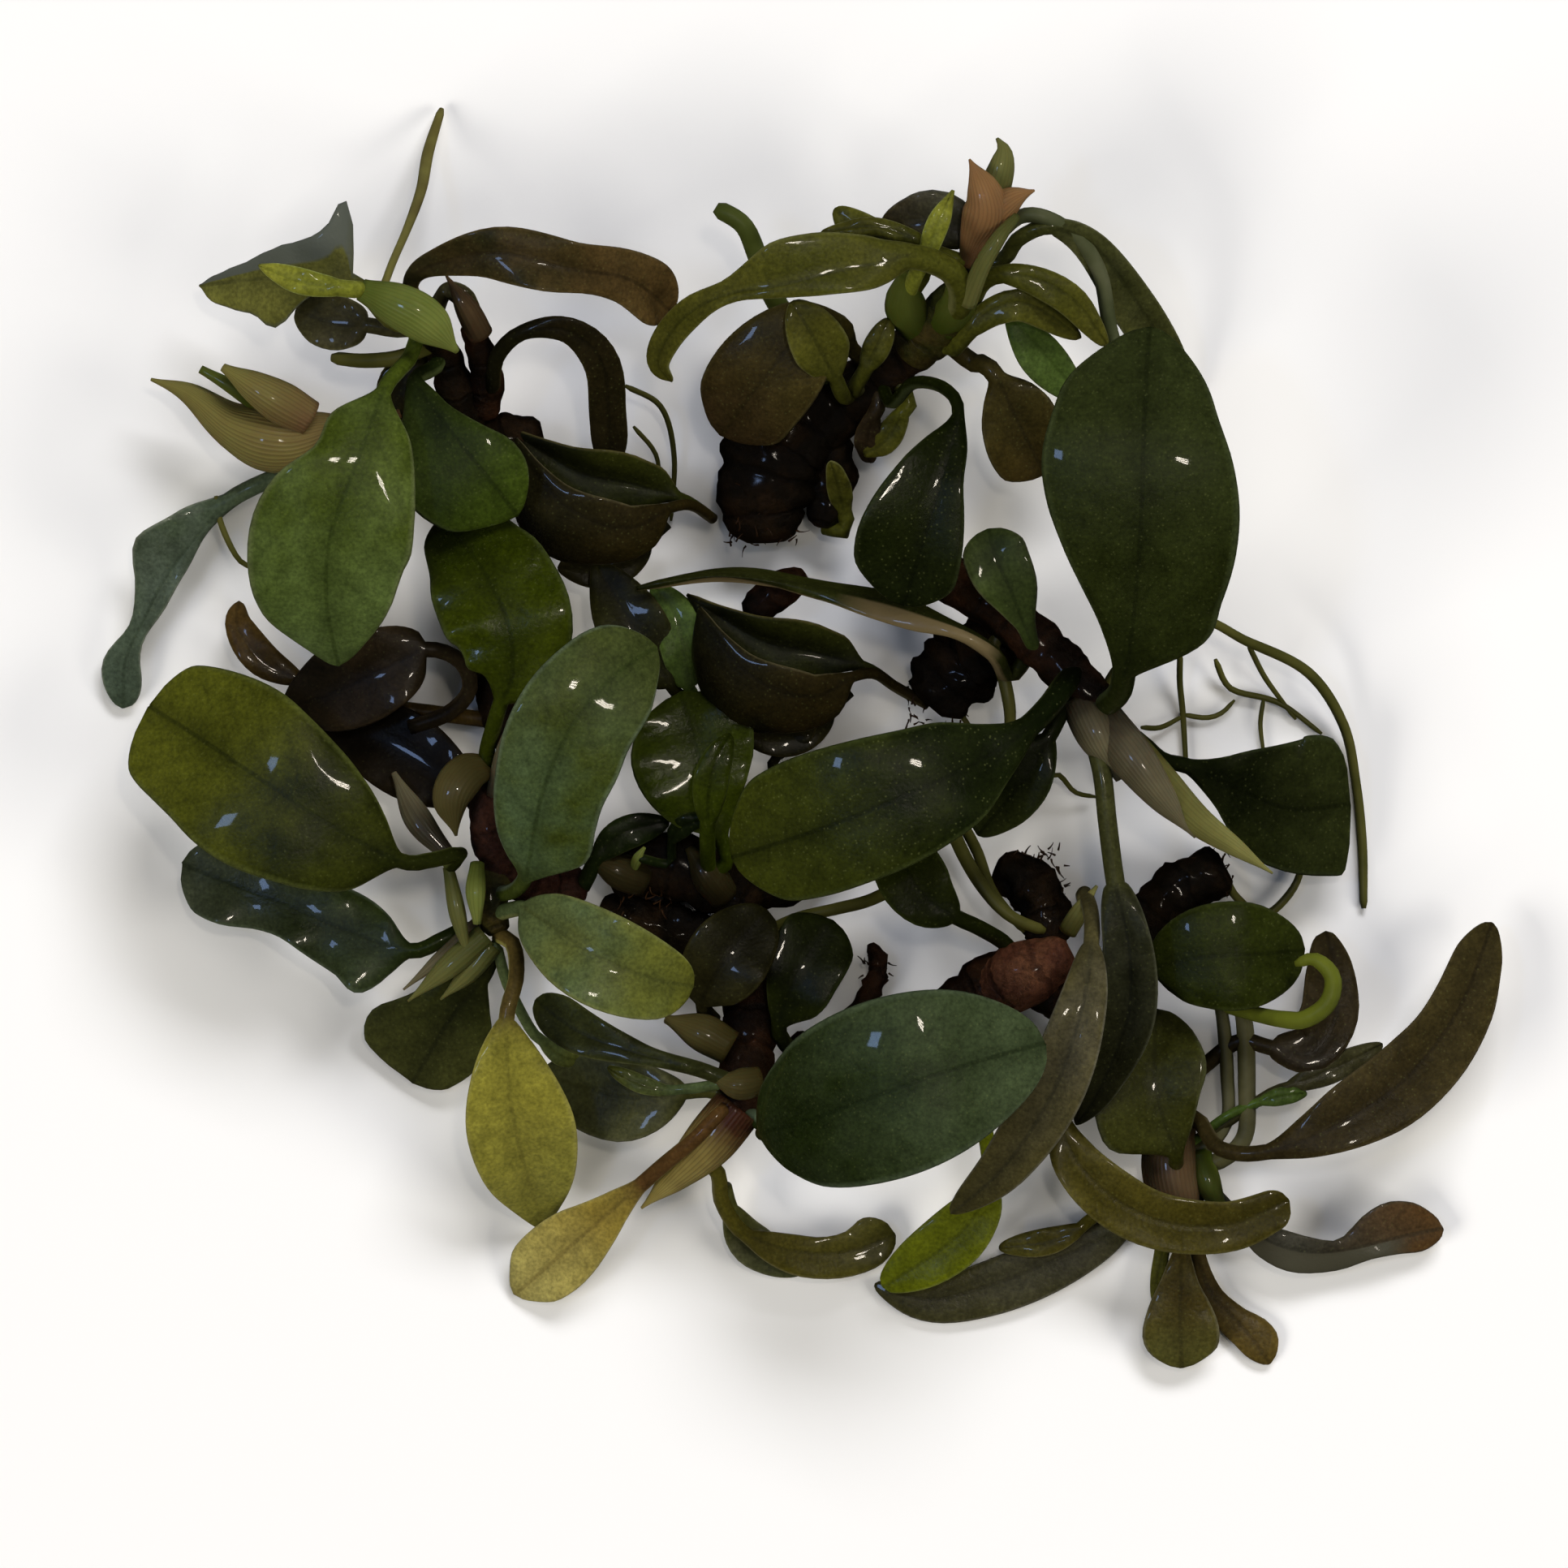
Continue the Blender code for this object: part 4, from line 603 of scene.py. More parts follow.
def leaf(name, places, blade, left, right, skin, node=None, widest=0.45, ends=(0.9, 0.6), blunt=0.8,
         roll=(0, 0), fold=(12, 12), curl=(0, 0), stalk=0.5, wave=0.12, waves=2.6):
    """A stalked leaf along the places, whose blade starts at the numbered place.

    left and right are half widths: one number for an oval blade, or a list of them from its base to its tip,
    which rounds off past the share blunt. roll leans the face to its right, fold lifts each half from the
    midrib, curl bends it on to its margin, and wave is how far the margin rises and falls.
    """
    half_thickness, edge, neck, thin_tip, tip_run = 0.28, 0.1, 0.22, 0.94, 0.06
    stalk_step, blade_step, crowded_ends = 0.6, 0.45, 0.09
    places, added = rooted(places)
    line, along, marks = stem_line(places)
    base, length = marks[blade + added], along[-1]
    stalk_rings = max(int(base / stalk_step), 3)
    rings = max(int((length - base) / blade_step), 20)
    distances = [base * k / stalk_rings for k in range(stalk_rings)]
    for k in range(rings + 1):
        share = k / rings
        distances.append(base + (length - base) * (share - crowded_ends * math.sin(2 * math.pi * share)))
    sections = cross_sections(line, along, distances, base + 0.45 * (length - base))
    work = unit_tube(24, len(distances))
    layers = [work.verts.layers.float.new(word) for word in LEAF_MARKS]
    phase = 0.7 * len(name) + places[-1][0]
    for vertex in work.verts:
        ring = round(vertex.co.z)
        across, through = vertex.co.x, vertex.co.y
        point, up, side = sections[ring]
        share = (distances[ring] - base) / (length - base)
        flat = min(max(share / neck, 0.0), 1.0)
        flat = flat * flat * (3 - 2 * flat)
        half = left if across < 0 else right
        if share <= 0:
            width = stalk
        elif isinstance(half, (int, float)):
            least = stalk if share < widest else edge
            width = least + (half - least) * oval(widest, ends, min(share, 1.0))
        else:
            past = max(share - blunt, 0.0) / (1 - blunt)
            width = max(between([stalk, *half], share) * math.sqrt(max(1 - past * past, 0.0)), edge)
        thick = stalk * (1 - flat) + half_thickness * flat
        if share > thin_tip:
            thick += (edge - thick) * (share - thin_tip) / tip_run
        lean = math.radians(between(roll, share))
        top = up * math.cos(lean) + side * math.sin(lean)
        out = side * math.cos(lean) - up * math.sin(lean)
        sign, which = (-1, 0) if across < 0 else (1, 1)
        reach = abs(across) * width * 0.985
        slope = math.radians(fold[which]) * flat
        bend = math.radians(curl[which]) * flat * abs(across)
        ripple = wave * flat * across * across * math.sin(2 * math.pi * waves * share + phase + 1.3 * which)
        lateral = reach * math.cos(slope + bend / 2)
        height = reach * math.sin(slope + bend / 2) + ripple
        place = point + out * (sign * lateral) + top * height
        normal = top * math.cos(slope + bend) - out * (sign * math.sin(slope + bend))
        measures = (share, across, distances[ring] - base, across * width, through)
        for layer, measure in zip(layers, measures):
            vertex[layer] = measure
        vertex.co = (place + normal * (through * thick)) * MM
        vertex.co.z = max(vertex.co.z, 0.00004)
    return grown(name, work, skin, node)


nw_green = leaf_skin("waxy mid green leaf", "#37420f", "#465222", "#4a5a2c", "#222c0a", "#5d6440", 0.34)
nw_dark = leaf_skin("dark green young leaf", "#161e07", "#27310e", "#35430f", "#0f1504", "#3c4524", 0.38)
nw_grey = leaf_skin("flared leaf with a turned margin", "#47471c", "#5c5b28", "#6c6c2c", "#34341a",
    "#4d5148", 0.36, turned=0.42)
nw_brown = leaf_skin("old brown leaf", "#25230f", "#3d3119", "#4b3a1c", "#1d160a", "#4c4128", 0.32)
# Painted shade: a darker olive skin for the northwest leaves that lie in the shade of others.
nw_shadow = leaf_skin("olive leaf in painted shade", "#141306", "#221c0b", "#1e190a", "#0e0c05", "#332c16", 0.3)
nw_blue = leaf_skin("blue green leaf", "#3f4a36", "#566052", "#445040", "#2c3626", "#767b6a", 0.26)
nw_lime = leaf_skin("new yellow-green leaf", "#646820", "#777a26", "#86862f", "#505418", "#808a4a", 0.3)
nw_shade = leaf_skin("olive grey leaf in shade", "#35321d", "#464129", "#3c3a20", "#1f1d0f", "#55533a", 0.34)

leaf("nw_large", [(25.3, 22.0, 9.6), (24.5, 23.0, 11.2), (23.7, 24.2, 12.4), (22.1, 28.4, 13.6),
      (20.4, 33.2, 13.2), (20.2, 37.2, 11.4), (20.9, 41.0, 8.6)], 2,
     [2.7, 3.9, 4.8, 5.2, 4.8, 4.1, 3.0, 2.0], [2.5, 2.8, 4.3, 5.0, 4.9, 4.3, 3.0, 1.8], nw_green,
     "leaf_nw_large", fold=(8, 8), curl=(-16, -14), wave=0.25)
leaf("nw_round", [(26.8, 22.6, 7.6), (25.6, 23.4, 8.8), (26.6, 25.0, 10.0), (28.4, 27.4, 10.7),
      (30.2, 29.6, 10.6), (31.9, 31.8, 9.4)], 1, [0.7, 0.9, 1.4, 2.0, 2.6, 2.6, 2.0, 1.4],
     [1.6, 3.0, 4.2, 4.8, 4.8, 4.4, 3.6, 2.4], nw_dark, "leaf_nw_round", fold=(6, 4), curl=(-10, -10))
leaf("nw_flared", [(24.2, 19.9, 8.0), (22.8, 18.4, 8.6), (21.6, 17.3, 9.0), (19.0, 17.1, 8.6),
      (15.8, 17.1, 6.8), (12.2, 17.5, 3.8)], 2,
     [0.6, 0.8, 1.0, 1.4, 2.0, 2.8, 3.2, 3.0, 2.5, 2.2, 2.05, 1.85, 1.55, 1.3, 0.9, 0.3],
     [4.9, 3.4, 2.8, 2.5, 2.25, 2.1, 1.8, 1.6, 1.35, 1.1, 0.95, 0.8, 0.6, 0.5, 0.35, 0.2], nw_grey,
     "leaf_nw_flared", fold=(4, 18), blunt=0.9, wave=0.1)
leaf("nw_arching", [(26.0, 19.0, 8.6), (25.3, 17.7, 9.6), (26.4, 16.5, 10.8), (30.5, 15.7, 12.6),
      (35.0, 16.7, 12.6), (38.6, 17.3, 11.2), (41.2, 19.2, 8.2)], 1,
     [0.9, 1.4, 1.8, 1.9, 1.8, 1.9, 2.2, 1.9], [0.7, 1.3, 1.8, 1.8, 1.4, 1.6, 2.0, 1.8], nw_brown,
     "leaf_nw_arching", roll=(20, 0, 0), fold=(14, 14), wave=0.35, blunt=0.86)
leaf("nw_hook", [(30.3, 24.0, 6.2), (30.6, 22.0, 7.6), (32.2, 20.5, 8.8), (35.0, 20.3, 9.2),
      (37.0, 22.2, 8.4), (37.4, 25.4, 6.4), (37.6, 29.0, 4.5)], 2, [0.8, 1.1, 1.2, 1.2, 1.2, 1.0],
     [0.8, 1.1, 1.2, 1.2, 1.2, 1.0], nw_shadow, "leaf_nw_hook")
leaf("nw_twisted", [(18.2, 28.8, 4.8), (16.8, 29.4, 4.0), (15.6, 29.9, 3.6), (14.0, 30.8, 3.4),
      (12.4, 32.4, 3.2), (10.4, 35.0, 2.5), (8.9, 37.9, 1.9), (7.6, 40.6, 1.1), (7.4, 43.6, 0.5)], 3,
     [0.5, 0.9, 1.0, 0.6, 1.2, 1.6], [2.0, 3.0, 1.6, 0.7, 1.5, 1.4], nw_blue, "leaf_nw_twisted",
     roll=(0, -10, 20, 10, 0), stalk=0.55)
leaf("nw_lime_spear", [(21.9, 17.9, 11.4), (20.9, 17.8, 11.6), (18.6, 17.4, 11.6), (16.0, 16.4, 10.8)], 1,
     0.85, 0.85, nw_lime, "spear_lime", ends=(0.9, 0.9), stalk=0.55)
leaf("nw_teal", [(26.2, 20.2, 7.4), (24.4, 20.3, 7.0), (22.6, 20.0, 6.6), (20.4, 19.8, 6.2),
      (18.2, 19.0, 5.6)], 2, 1.8, 1.8, nw_shade, ends=(0.5, 0.5))
leaf("nw_olive_tip", [(26.8, 19.4, 7.4), (27.4, 18.0, 8.0), (28.4, 18.2, 8.2), (29.4, 19.4, 7.6)], 1, 0.7,
     0.7, nw_shade)
leaf("nw_under", [(27.2, 20.6, 5.4), (26.0, 21.6, 5.4), (24.6, 23.6, 5.0), (24.0, 26.4, 4.2)], 1, 1.4, 1.4,
     nw_shadow)

# Leaves of the west crown. The same leathery leaves at every age: bluish and waxy on top, olive on the
# broadest, yellow-green on the youngest, with the old ones lying dark on the surface below.
west_glossy = leaf_skin("glossy bottle green leaf", "#2a3203", "#363e06", "#161d02", "#131803", "#3c4422",
    0.2)
west_waxy = leaf_skin("glaucous waxy leaf", "#343d12", "#425233", "#383f1c", "#202a0c", "#5a6650", 0.36)
west_broad = leaf_skin("broad olive leaf", "#1b1f05", "#2f330a", "#494c0f", "#101504", "#4c5226", 0.3)
west_olive = leaf_skin("light olive leaf", "#475331", "#545a2a", "#585a1d", "#383c18", "#6c7040", 0.3)
west_lime = leaf_skin("yellow-green young leaf", "#79742a", "#7f7a2c", "#706e2c", "#5a5620", "#8c8746", 0.3,
    specks=0.1, petiole="#4a3e1c")
west_wet = leaf_skin("wavy sea green leaf", "#1d2509", "#2f3722", "#3f4533", "#131908", "#4c5642", 0.24)
west_under = leaf_skin("low dark olive leaf", "#20230b", "#2f3212", "#3a3c1a", "#12140a", "#3f4222", 0.32)
amber_brown = leaf_skin("thin amber brown leaf", "#453514", "#5a4520", "#54401c", "#2c2210", "#5c4c30", 0.3)
old_brown = leaf_skin("dead brown leaf", "#231c10", "#332818", "#2c2214", "#150f08", "#3a2e1c", 0.34)
# A darker copy of the dead brown leaf: its extra darkness is painted shade, for the leaf lying low under the
# west crown.
shaded_dead_brown = leaf_skin("dead leaf in painted shade", "#110c04", "#1b140a", "#171108", "#090603", "#241b10", 0.34,
    specks=0.08)

leaf("west_glossy", [(30.0, 46.2, 7.4), (30.4, 44.8, 8.8), (30.9, 43.2, 9.8), (31.6, 41.6, 10.4),
      (31.4, 38.6, 10.8), (29.8, 35.2, 9.8), (27.2, 31.8, 7.6)], 2, [2.6, 3.2, 3.9, 4.0, 3.8, 3.2, 2.4, 1.5],
     [2.8, 3.6, 4.1, 4.1, 3.9, 3.4, 2.7, 1.7], west_glossy, "leaf_west_glossy", fold=(6, 6), curl=(-12, -12),
     wave=0.35, waves=4, blunt=0.9)
leaf("west_glaucous", [(31.6, 54.9, 7.6), (32.4, 54.0, 9.6), (32.8, 52.4, 11.2), (33.6, 48.6, 13.4),
      (35.4, 44.6, 14.4), (38.0, 41.6, 14.0), (40.5, 39.9, 12.6)], 1,
     [1.9, 2.8, 3.3, 3.7, 3.8, 3.6, 3.2, 2.4], [3.4, 3.7, 3.8, 4.0, 3.8, 3.5, 2.9, 2.2], west_waxy,
     "leaf_west_glaucous", fold=(8, 8), curl=(-14, -14), wave=0.25)
leaf("west_broad", [(28.3, 52.6, 7.6), (26.5, 53.0, 8.6), (24.6, 53.0, 9.4), (20.4, 50.8, 10.6),
      (16.0, 47.9, 10.3), (12.4, 45.5, 8.6), (9.2, 43.5, 6.6)], 2,
     [3.0, 4.1, 4.8, 5.4, 5.7, 5.6, 5.2, 4.9, 4.5, 3.6], [2.0, 3.2, 4.0, 4.5, 4.9, 5.2, 5.1, 4.7, 4.0, 3.0],
     west_broad, "leaf_west_broad", fold=(6, 6), curl=(-12, -12), blunt=0.93, wave=0.2)
leaf("west_olive", [(31.7, 56.0, 7.7), (32.4, 56.0, 9.2), (33.6, 56.8, 10.4), (36.6, 58.8, 11.6),
      (39.8, 60.2, 11.4), (42.7, 60.8, 9.4)], 1, 3.0, 3.1, west_olive, "leaf_west_olive", widest=0.5,
     ends=(0.6, 0.5))
leaf("west_lime", [(31.6, 58.2, 6.9), (31.8, 60.2, 7.8), (31.2, 62.8, 8.2), (31.3, 67.2, 7.4),
      (32.1, 71.4, 4.8), (33.4, 75.8, 0.6)], 2, 3.9, 3.1, west_lime, "leaf_west_lime", widest=0.45,
     ends=(0.9, 0.8))
leaf("west_wavy", [(28.7, 57.2, 4.6), (27.2, 57.9, 5.0), (25.2, 58.6, 4.9), (21.5, 57.4, 4.4),
      (17.2, 55.6, 3.6), (11.1, 53.3, 2.0)], 2, [3.4, 2.9, 2.5, 2.1, 2.2, 2.7, 2.6, 2.0],
     [1.8, 2.4, 2.5, 2.4, 2.5, 2.8, 2.6, 2.0], west_wet, "leaf_west_wavy", fold=(8, 2), wave=0.45, waves=3.2,
     blunt=0.88)
leaf("west_low", [(30.2, 59.0, 4.6), (29.6, 60.4, 3.8), (27.6, 62.9, 2.6), (25.3, 66.8, 0.7)], 1,
     [1.5, 2.5, 3.0, 3.2, 3.1, 2.8, 2.2, 1.6], [1.5, 2.2, 2.8, 3.6, 4.4, 4.5, 4.0, 3.2], west_under,
     "leaf_west_low", fold=(2, 2), blunt=0.88)
leaf("west_brown_hook", [(25.2, 44.8, 3.2), (27.6, 43.9, 3.8), (28.9, 42.4, 4.4), (28.3, 40.7, 5.0),
      (26.2, 40.0, 5.4), (23.5, 41.2, 5.4), (20.5, 42.6, 4.6), (17.5, 43.6, 3.4)], 4, 2.9, 3.0, old_brown,
     ends=(0.5, 0.6))
leaf("west_brown_low", [(29.6, 50.0, 4.2), (28.6, 48.9, 3.8), (26.2, 47.3, 3.2), (22.9, 45.4, 2.4),
      (19.6, 45.0, 1.4)], 1, 2.8, 2.7, shaded_dead_brown, ends=(0.5, 0.6))
leaf("west_brown_curl", [(30.6, 44.4, 2.6), (26.6, 43.9, 2.2), (23.0, 43.4, 2.0), (19.8, 42.5, 2.2),
      (18.2, 41.8, 2.6), (16.0, 40.6, 2.8), (14.6, 38.6, 2.6), (14.6, 37.0, 2.0)], 4, 1.1, 1.2, amber_brown)
leaf("west_strip_a", [(30.6, 58.4, 6.0), (31.2, 60.6, 4.6), (32.6, 63.4, 3.4), (33.4, 64.2, 3.2),
      (34.6, 65.2, 2.8), (36.2, 65.4, 2.4)], 3, 0.6, 0.6, west_olive, stalk=0.35)

# Leaves over the middle. Two blades are folded up along the midrib like a half-open book, so that their dark
# inner faces show above the lit outer ones. The others lie flat, some glossy, under them and the west crown.
fold_dark = leaf_skin("small dark leaf", "#15140a", "#211e0a", "#1b180a", "#0d0b04", "#2f2a14", 0.3)
fold_inner = leaf_skin("inner face of a folded leaf", "#272a0a", "#20230a", "#0c0d03", "#0b0b03", "#4a4424",
    0.34, veins=0.05)
fold_outer = leaf_skin("outer face of a folded leaf", "#231c08", "#241e0b", "#1a1a09", "#100d05", "#4c4630",
    0.36, veins=0.05)
mid_shine = leaf_skin("glossy leaf over the middle", "#283103", "#343d08", "#222806", "#141a02", "#3a421c",
    0.2)
mid_brown = leaf_skin("brown green leaf", "#191805", "#27290f", "#201f0a", "#0e0d04", "#312e18", 0.34)
mid_dark = leaf_skin("small shaded green leaf", "#121a06", "#1c260c", "#161e08", "#090d03", "#2c3216", 0.3)
bright_green = leaf_skin("bright green leaf", "#3c4d1c", "#48592a", "#425422", "#2c3a12", "#566436", 0.3)

# The second folded leaf repeats the first, further over and down.
FOLDED_PAIR = (("", (0, 0)), ("_b", (11.3, 10.4)))


def moved(places, by):
    return [(x + by[0], y + by[1], z) for x, y, z in places]


for tail, by in FOLDED_PAIR:
    rear = [(43.9, 31.9, 3.2), (42.8, 31.1, 4.8), (41.8, 30.6, 5.6), (39.0, 29.6, 5.8), (36.0, 29.0, 5.8),
            (33.4, 27.6, 5.6), (31.0, 26.2, 5.2)]
    front = [(43.9, 31.9, 3.4), (42.6, 31.1, 5.4), (41.2, 31.3, 7.0), (38.6, 32.4, 8.0), (35.4, 31.4, 8.2),
             (33.2, 29.2, 7.8), (31.8, 27.0, 7.2)]
    leaf(f"mid_folded{tail}", moved(rear, by), 2, [1.4, 2.0, 2.2, 1.8, 1.2, 0.5],
         [1.8, 2.3, 2.1, 1.3, 0.6, 0.3], fold_inner, f"leaf_mid_folded{tail}", fold=(0, 45), stalk=0.35,
         wave=0.1)
    leaf(f"mid_folded{tail}_front", moved(front, by), 2, [2.3, 3.3, 4.1, 3.9, 2.7, 1.0],
         [1.2, 1.6, 1.4, 0.9, 0.5, 0.3], fold_outer, fold=(-4, 22), curl=(-64, 0), stalk=0.35, wave=0.1)
leaf("mid_glossy", [(44.8, 53.0, 5.2), (44.4, 51.6, 6.0), (43.4, 48.0, 6.6), (41.9, 42.6, 5.8)], 1,
     [2.6, 3.7, 4.2, 4.1, 3.3, 2.2], [1.5, 2.6, 3.5, 3.8, 3.2, 2.1], mid_shine, "leaf_mid_glossy",
     fold=(6, 6), wave=0.3, waves=4)
leaf("mid_brown", [(43.4, 52.6, 3.0), (43.4, 48.0, 2.8), (42.3, 43.6, 3.4), (41.3, 42.2, 4.6),
      (39.0, 38.6, 5.0), (36.6, 34.4, 4.2)], 3, 2.3, 2.2, mid_brown, "leaf_mid_brown", ends=(0.6, 0.85),
     stalk=0.4)
leaf("mid_bright", [(44.2, 53.0, 3.2), (44.0, 48.0, 3.4), (42.8, 43.2, 4.0), (42.4, 42.3, 4.6),
      (42.2, 40.2, 5.0), (41.6, 37.8, 5.0), (40.2, 36.0, 4.6)], 3, 1.6, 1.4, bright_green, stalk=0.4,
     ends=(0.5, 0.6))
leaf("mid_slim", [(43.6, 53.2, 5.6), (43.6, 50.6, 8.4), (43.9, 47.6, 9.4), (45.0, 45.2, 9.2)], 1, 1.15, 1.15,
     mid_shine)
leaf("mid_under", [(36.2, 54.0, 4.4), (36.8, 52.8, 5.0), (38.4, 51.4, 5.4), (41.2, 50.6, 5.0)], 1, 1.1, 1.1,
     mid_dark)
leaf("mid_curl", [(41.2, 53.2, 4.6), (41.4, 51.8, 5.4), (42.2, 50.8, 6.6), (43.6, 50.4, 6.8)], 1, 0.7, 0.7,
     mid_dark, stalk=0.3)
for tail, by in FOLDED_PAIR:
    flap = [(41.1, 32.2, 2.4), (39.9, 33.2, 2.6), (37.3, 34.6, 2.9), (34.3, 35.0, 3.0)]
    leaf(f"mid_flap{tail}", moved(flap, by), 1, 1.7, 1.7, fold_dark, ends=(0.6, 0.7), stalk=0.35)
leaf("mid_low_dark", [(49.4, 52.6, 2.2), (48.2, 49.6, 2.2), (47.6, 47.0, 2.4), (48.4, 46.2, 2.8),
      (49.2, 44.6, 3.0), (49.6, 42.8, 2.6)], 3, 1.2, 1.2, fold_dark, stalk=0.35)

# Leaves of the south crown. One broad blue-green leaf lies over two small round ones; an amber leaf and a
# pale one reach out at the edge of the clump, thin enough for the light of the surface to warm them.
south_blue = leaf_skin("large blue green leaf", "#1b2409", "#232c14", "#39442a", "#101806", "#4a563e", 0.36)
south_amber = leaf_skin("amber yellow leaf", "#7a6a2a", "#8b7b34", "#9c9352", "#5e5024", "#8c8450", 0.28,
    specks=0.1, petiole="#4a3418")
south_pale = leaf_skin("pale grey olive leaf", "#44451f", "#53533a", "#3e422a", "#2c2d12", "#5c5c46", 0.26)
south_brown = leaf_skin("small brown green leaf", "#1c1a0a", "#28260f", "#1f1e0a", "#0f0e05", "#363218", 0.3)
south_green = leaf_skin("small dark green leaf", "#131703", "#1e2306", "#191e05", "#090d02", "#2c3216", 0.3)
south_slim = leaf_skin("slim olive leaf", "#282a12", "#383c1e", "#363a18", "#181a0a", "#4c4e30", 0.26)
south_low = leaf_skin("low olive leaf", "#433e10", "#524b20", "#484518", "#2e2b10", "#5e593a", 0.3)

leaf("south_large", [(47.5, 69.7, 6.6), (47.1, 69.7, 8.9), (50.0, 68.9, 12.6), (54.4, 67.3, 14.8),
      (59.0, 65.7, 14.8), (64.3, 64.2, 12.8)], 1, 5.8, 5.4, south_blue, "leaf_south_large", widest=0.5,
     ends=(0.5, 0.5), fold=(5, 5), curl=(-14, -14), wave=0.2)
leaf("south_pale", [(43.6, 67.2, 4.6), (42.2, 67.3, 4.6), (38.2, 67.6, 3.6), (33.4, 66.2, 2.0)], 1, 2.9, 2.5,
     south_pale, "leaf_south_pale", ends=(0.8, 0.5), fold=(6, 6))
leaf("south_narrow", [(43.4, 66.0, 7.0), (42.4, 65.7, 7.4), (39.0, 64.8, 7.2), (35.8, 63.6, 6.4),
      (33.0, 61.6, 5.2)], 1, [0.6, 1.0, 1.4, 1.5, 1.3], [0.6, 1.0, 1.4, 1.5, 1.3], south_slim,
     "leaf_south_narrow", fold=(14, 14))
leaf("south_amber", [(44.6, 68.4, 6.6), (42.8, 70.2, 6.6), (41.0, 71.7, 5.8), (39.4, 73.1, 4.6),
      (35.8, 76.2, 2.4), (33.2, 78.5, 1.0), (31.6, 79.9, 0.35)], 3, [1.0, 1.7, 2.2, 2.4, 2.1, 1.4],
     [1.0, 1.6, 2.2, 2.4, 2.2, 1.4], south_amber, "leaf_south_amber")
leaf("south_brown", [(44.0, 63.0, 4.6), (43.3, 61.8, 6.0), (44.7, 59.2, 7.0), (47.3, 56.1, 6.2)], 1, 2.7,
     2.7, south_brown, "leaf_south_brown", ends=(0.6, 0.5))
leaf("south_dark", [(48.3, 64.2, 3.9), (48.0, 63.2, 5.2), (49.1, 60.2, 6.2), (51.3, 56.7, 5.4)], 1,
     [1.1, 1.7, 2.2, 2.5, 2.5, 2.0], [1.9, 2.5, 2.6, 2.6, 2.4, 1.9], south_green, "leaf_south_dark")
leaf("south_low", [(44.2, 72.3, 4.6), (44.5, 74.2, 3.6), (46.0, 76.2, 2.4), (49.4, 77.3, 1.5),
      (52.6, 77.2, 1.1), (55.2, 76.2, 0.9)], 2, [0.9, 1.1, 1.1, 1.3, 1.9, 2.0],
     [1.1, 1.5, 1.6, 1.6, 1.4, 1.2], south_low, "leaf_south_low")
leaf("south_edge", [(44.6, 73.2, 3.0), (45.0, 74.6, 1.8), (46.2, 76.8, 0.9), (49.4, 78.6, 0.5)], 1, 1.5, 1.3,
     south_pale)
leaf("south_strip", [(44.8, 66.8, 5.6), (42.6, 67.1, 5.0), (41.0, 67.2, 4.7), (39.4, 66.8, 4.8),
      (37.4, 65.8, 4.6)], 2, 0.6, 0.6, west_olive, stalk=0.35)
leaf("south_far", [(73.0, 72.6, 1.8), (70.6, 73.8, 1.6), (67.6, 75.0, 1.6), (66.6, 75.8, 1.8),
      (64.6, 76.6, 1.6), (61.6, 77.0, 1.2)], 3, 0.9, 0.9, south_low, stalk=0.4)

# Leaves of the north crown. The broad one narrows to a long arm that droops and hooks over the brown one
# below it; thin green ones fan out to the right and droop to the surface.
north_olive = leaf_skin("broad arching olive leaf", "#3d3e10", "#4b4a17", "#4a4815", "#24250a", "#5c5c34",
    0.32)
north_brown = leaf_skin("olive brown leaf back", "#332d10", "#3d3513", "#2b2010", "#1e1908", "#453e22", 0.32)
north_green = leaf_skin("drooping olive leaf", "#333515", "#464728", "#3a3c17", "#1f210e", "#55573c", 0.26)
north_stalked = leaf_skin("brown stalked leaf", "#302a10", "#3c3516", "#33290e", "#1a160a", "#453f28", 0.3)
north_speckled = leaf_skin("speckled dark leaf", "#101502", "#181d05", "#131805", "#080b02", "#2a301a", 0.3,
    specks=0.22)
north_fresh = leaf_skin("fresh olive green leaf", "#434412", "#52521c", "#4f4f18", "#2e2e0c", "#64643a", 0.3)
north_grey = leaf_skin("dark arched grey leaf", "#302f1a", "#434338", "#3a3018", "#1a190e", "#4a4a44", 0.24)

leaf("north_broad", [(58.0, 19.8, 7.4), (59.2, 18.6, 9.4), (58.6, 16.8, 11.0), (56.2, 15.9, 12.0),
      (54.0, 16.3, 12.6), (51.0, 16.9, 13.0), (48.0, 17.7, 13.0), (45.4, 18.1, 12.4), (43.2, 18.9, 11.6),
      (41.6, 20.3, 10.2), (40.7, 22.2, 8.8), (41.4, 23.5, 8.3)], 3, [1.6, 1.4, 0.8, 0.6, 1.0, 1.0, 0.8],
     [1.9, 2.7, 2.7, 1.0, 1.0, 1.0, 0.9], north_olive, "leaf_north_broad", fold=(14, 12), stalk=0.8,
     blunt=0.93)
leaf("north_brown", [(52.5, 21.5, 6.6), (51.8, 19.9, 8.4), (49.4, 20.6, 9.4), (46.8, 23.6, 9.0),
      (44.4, 26.8, 6.8)], 1, [2.2, 3.1, 3.4, 3.4, 3.2, 2.4], [1.8, 2.8, 3.3, 3.3, 2.9, 2.2], north_brown,
     "leaf_north_brown", fold=(5, 5), curl=(-10, -10))
leaf("north_drooping", [(61.8, 16.0, 8.2), (62.8, 14.7, 9.2), (64.8, 14.0, 9.6), (67.3, 15.1, 8.6),
      (70.1, 18.7, 5.6), (73.8, 24.3, 0.7)], 2, 1.2, 1.8, north_green, "leaf_north_drooping", widest=0.55,
     ends=(0.7, 0.7))
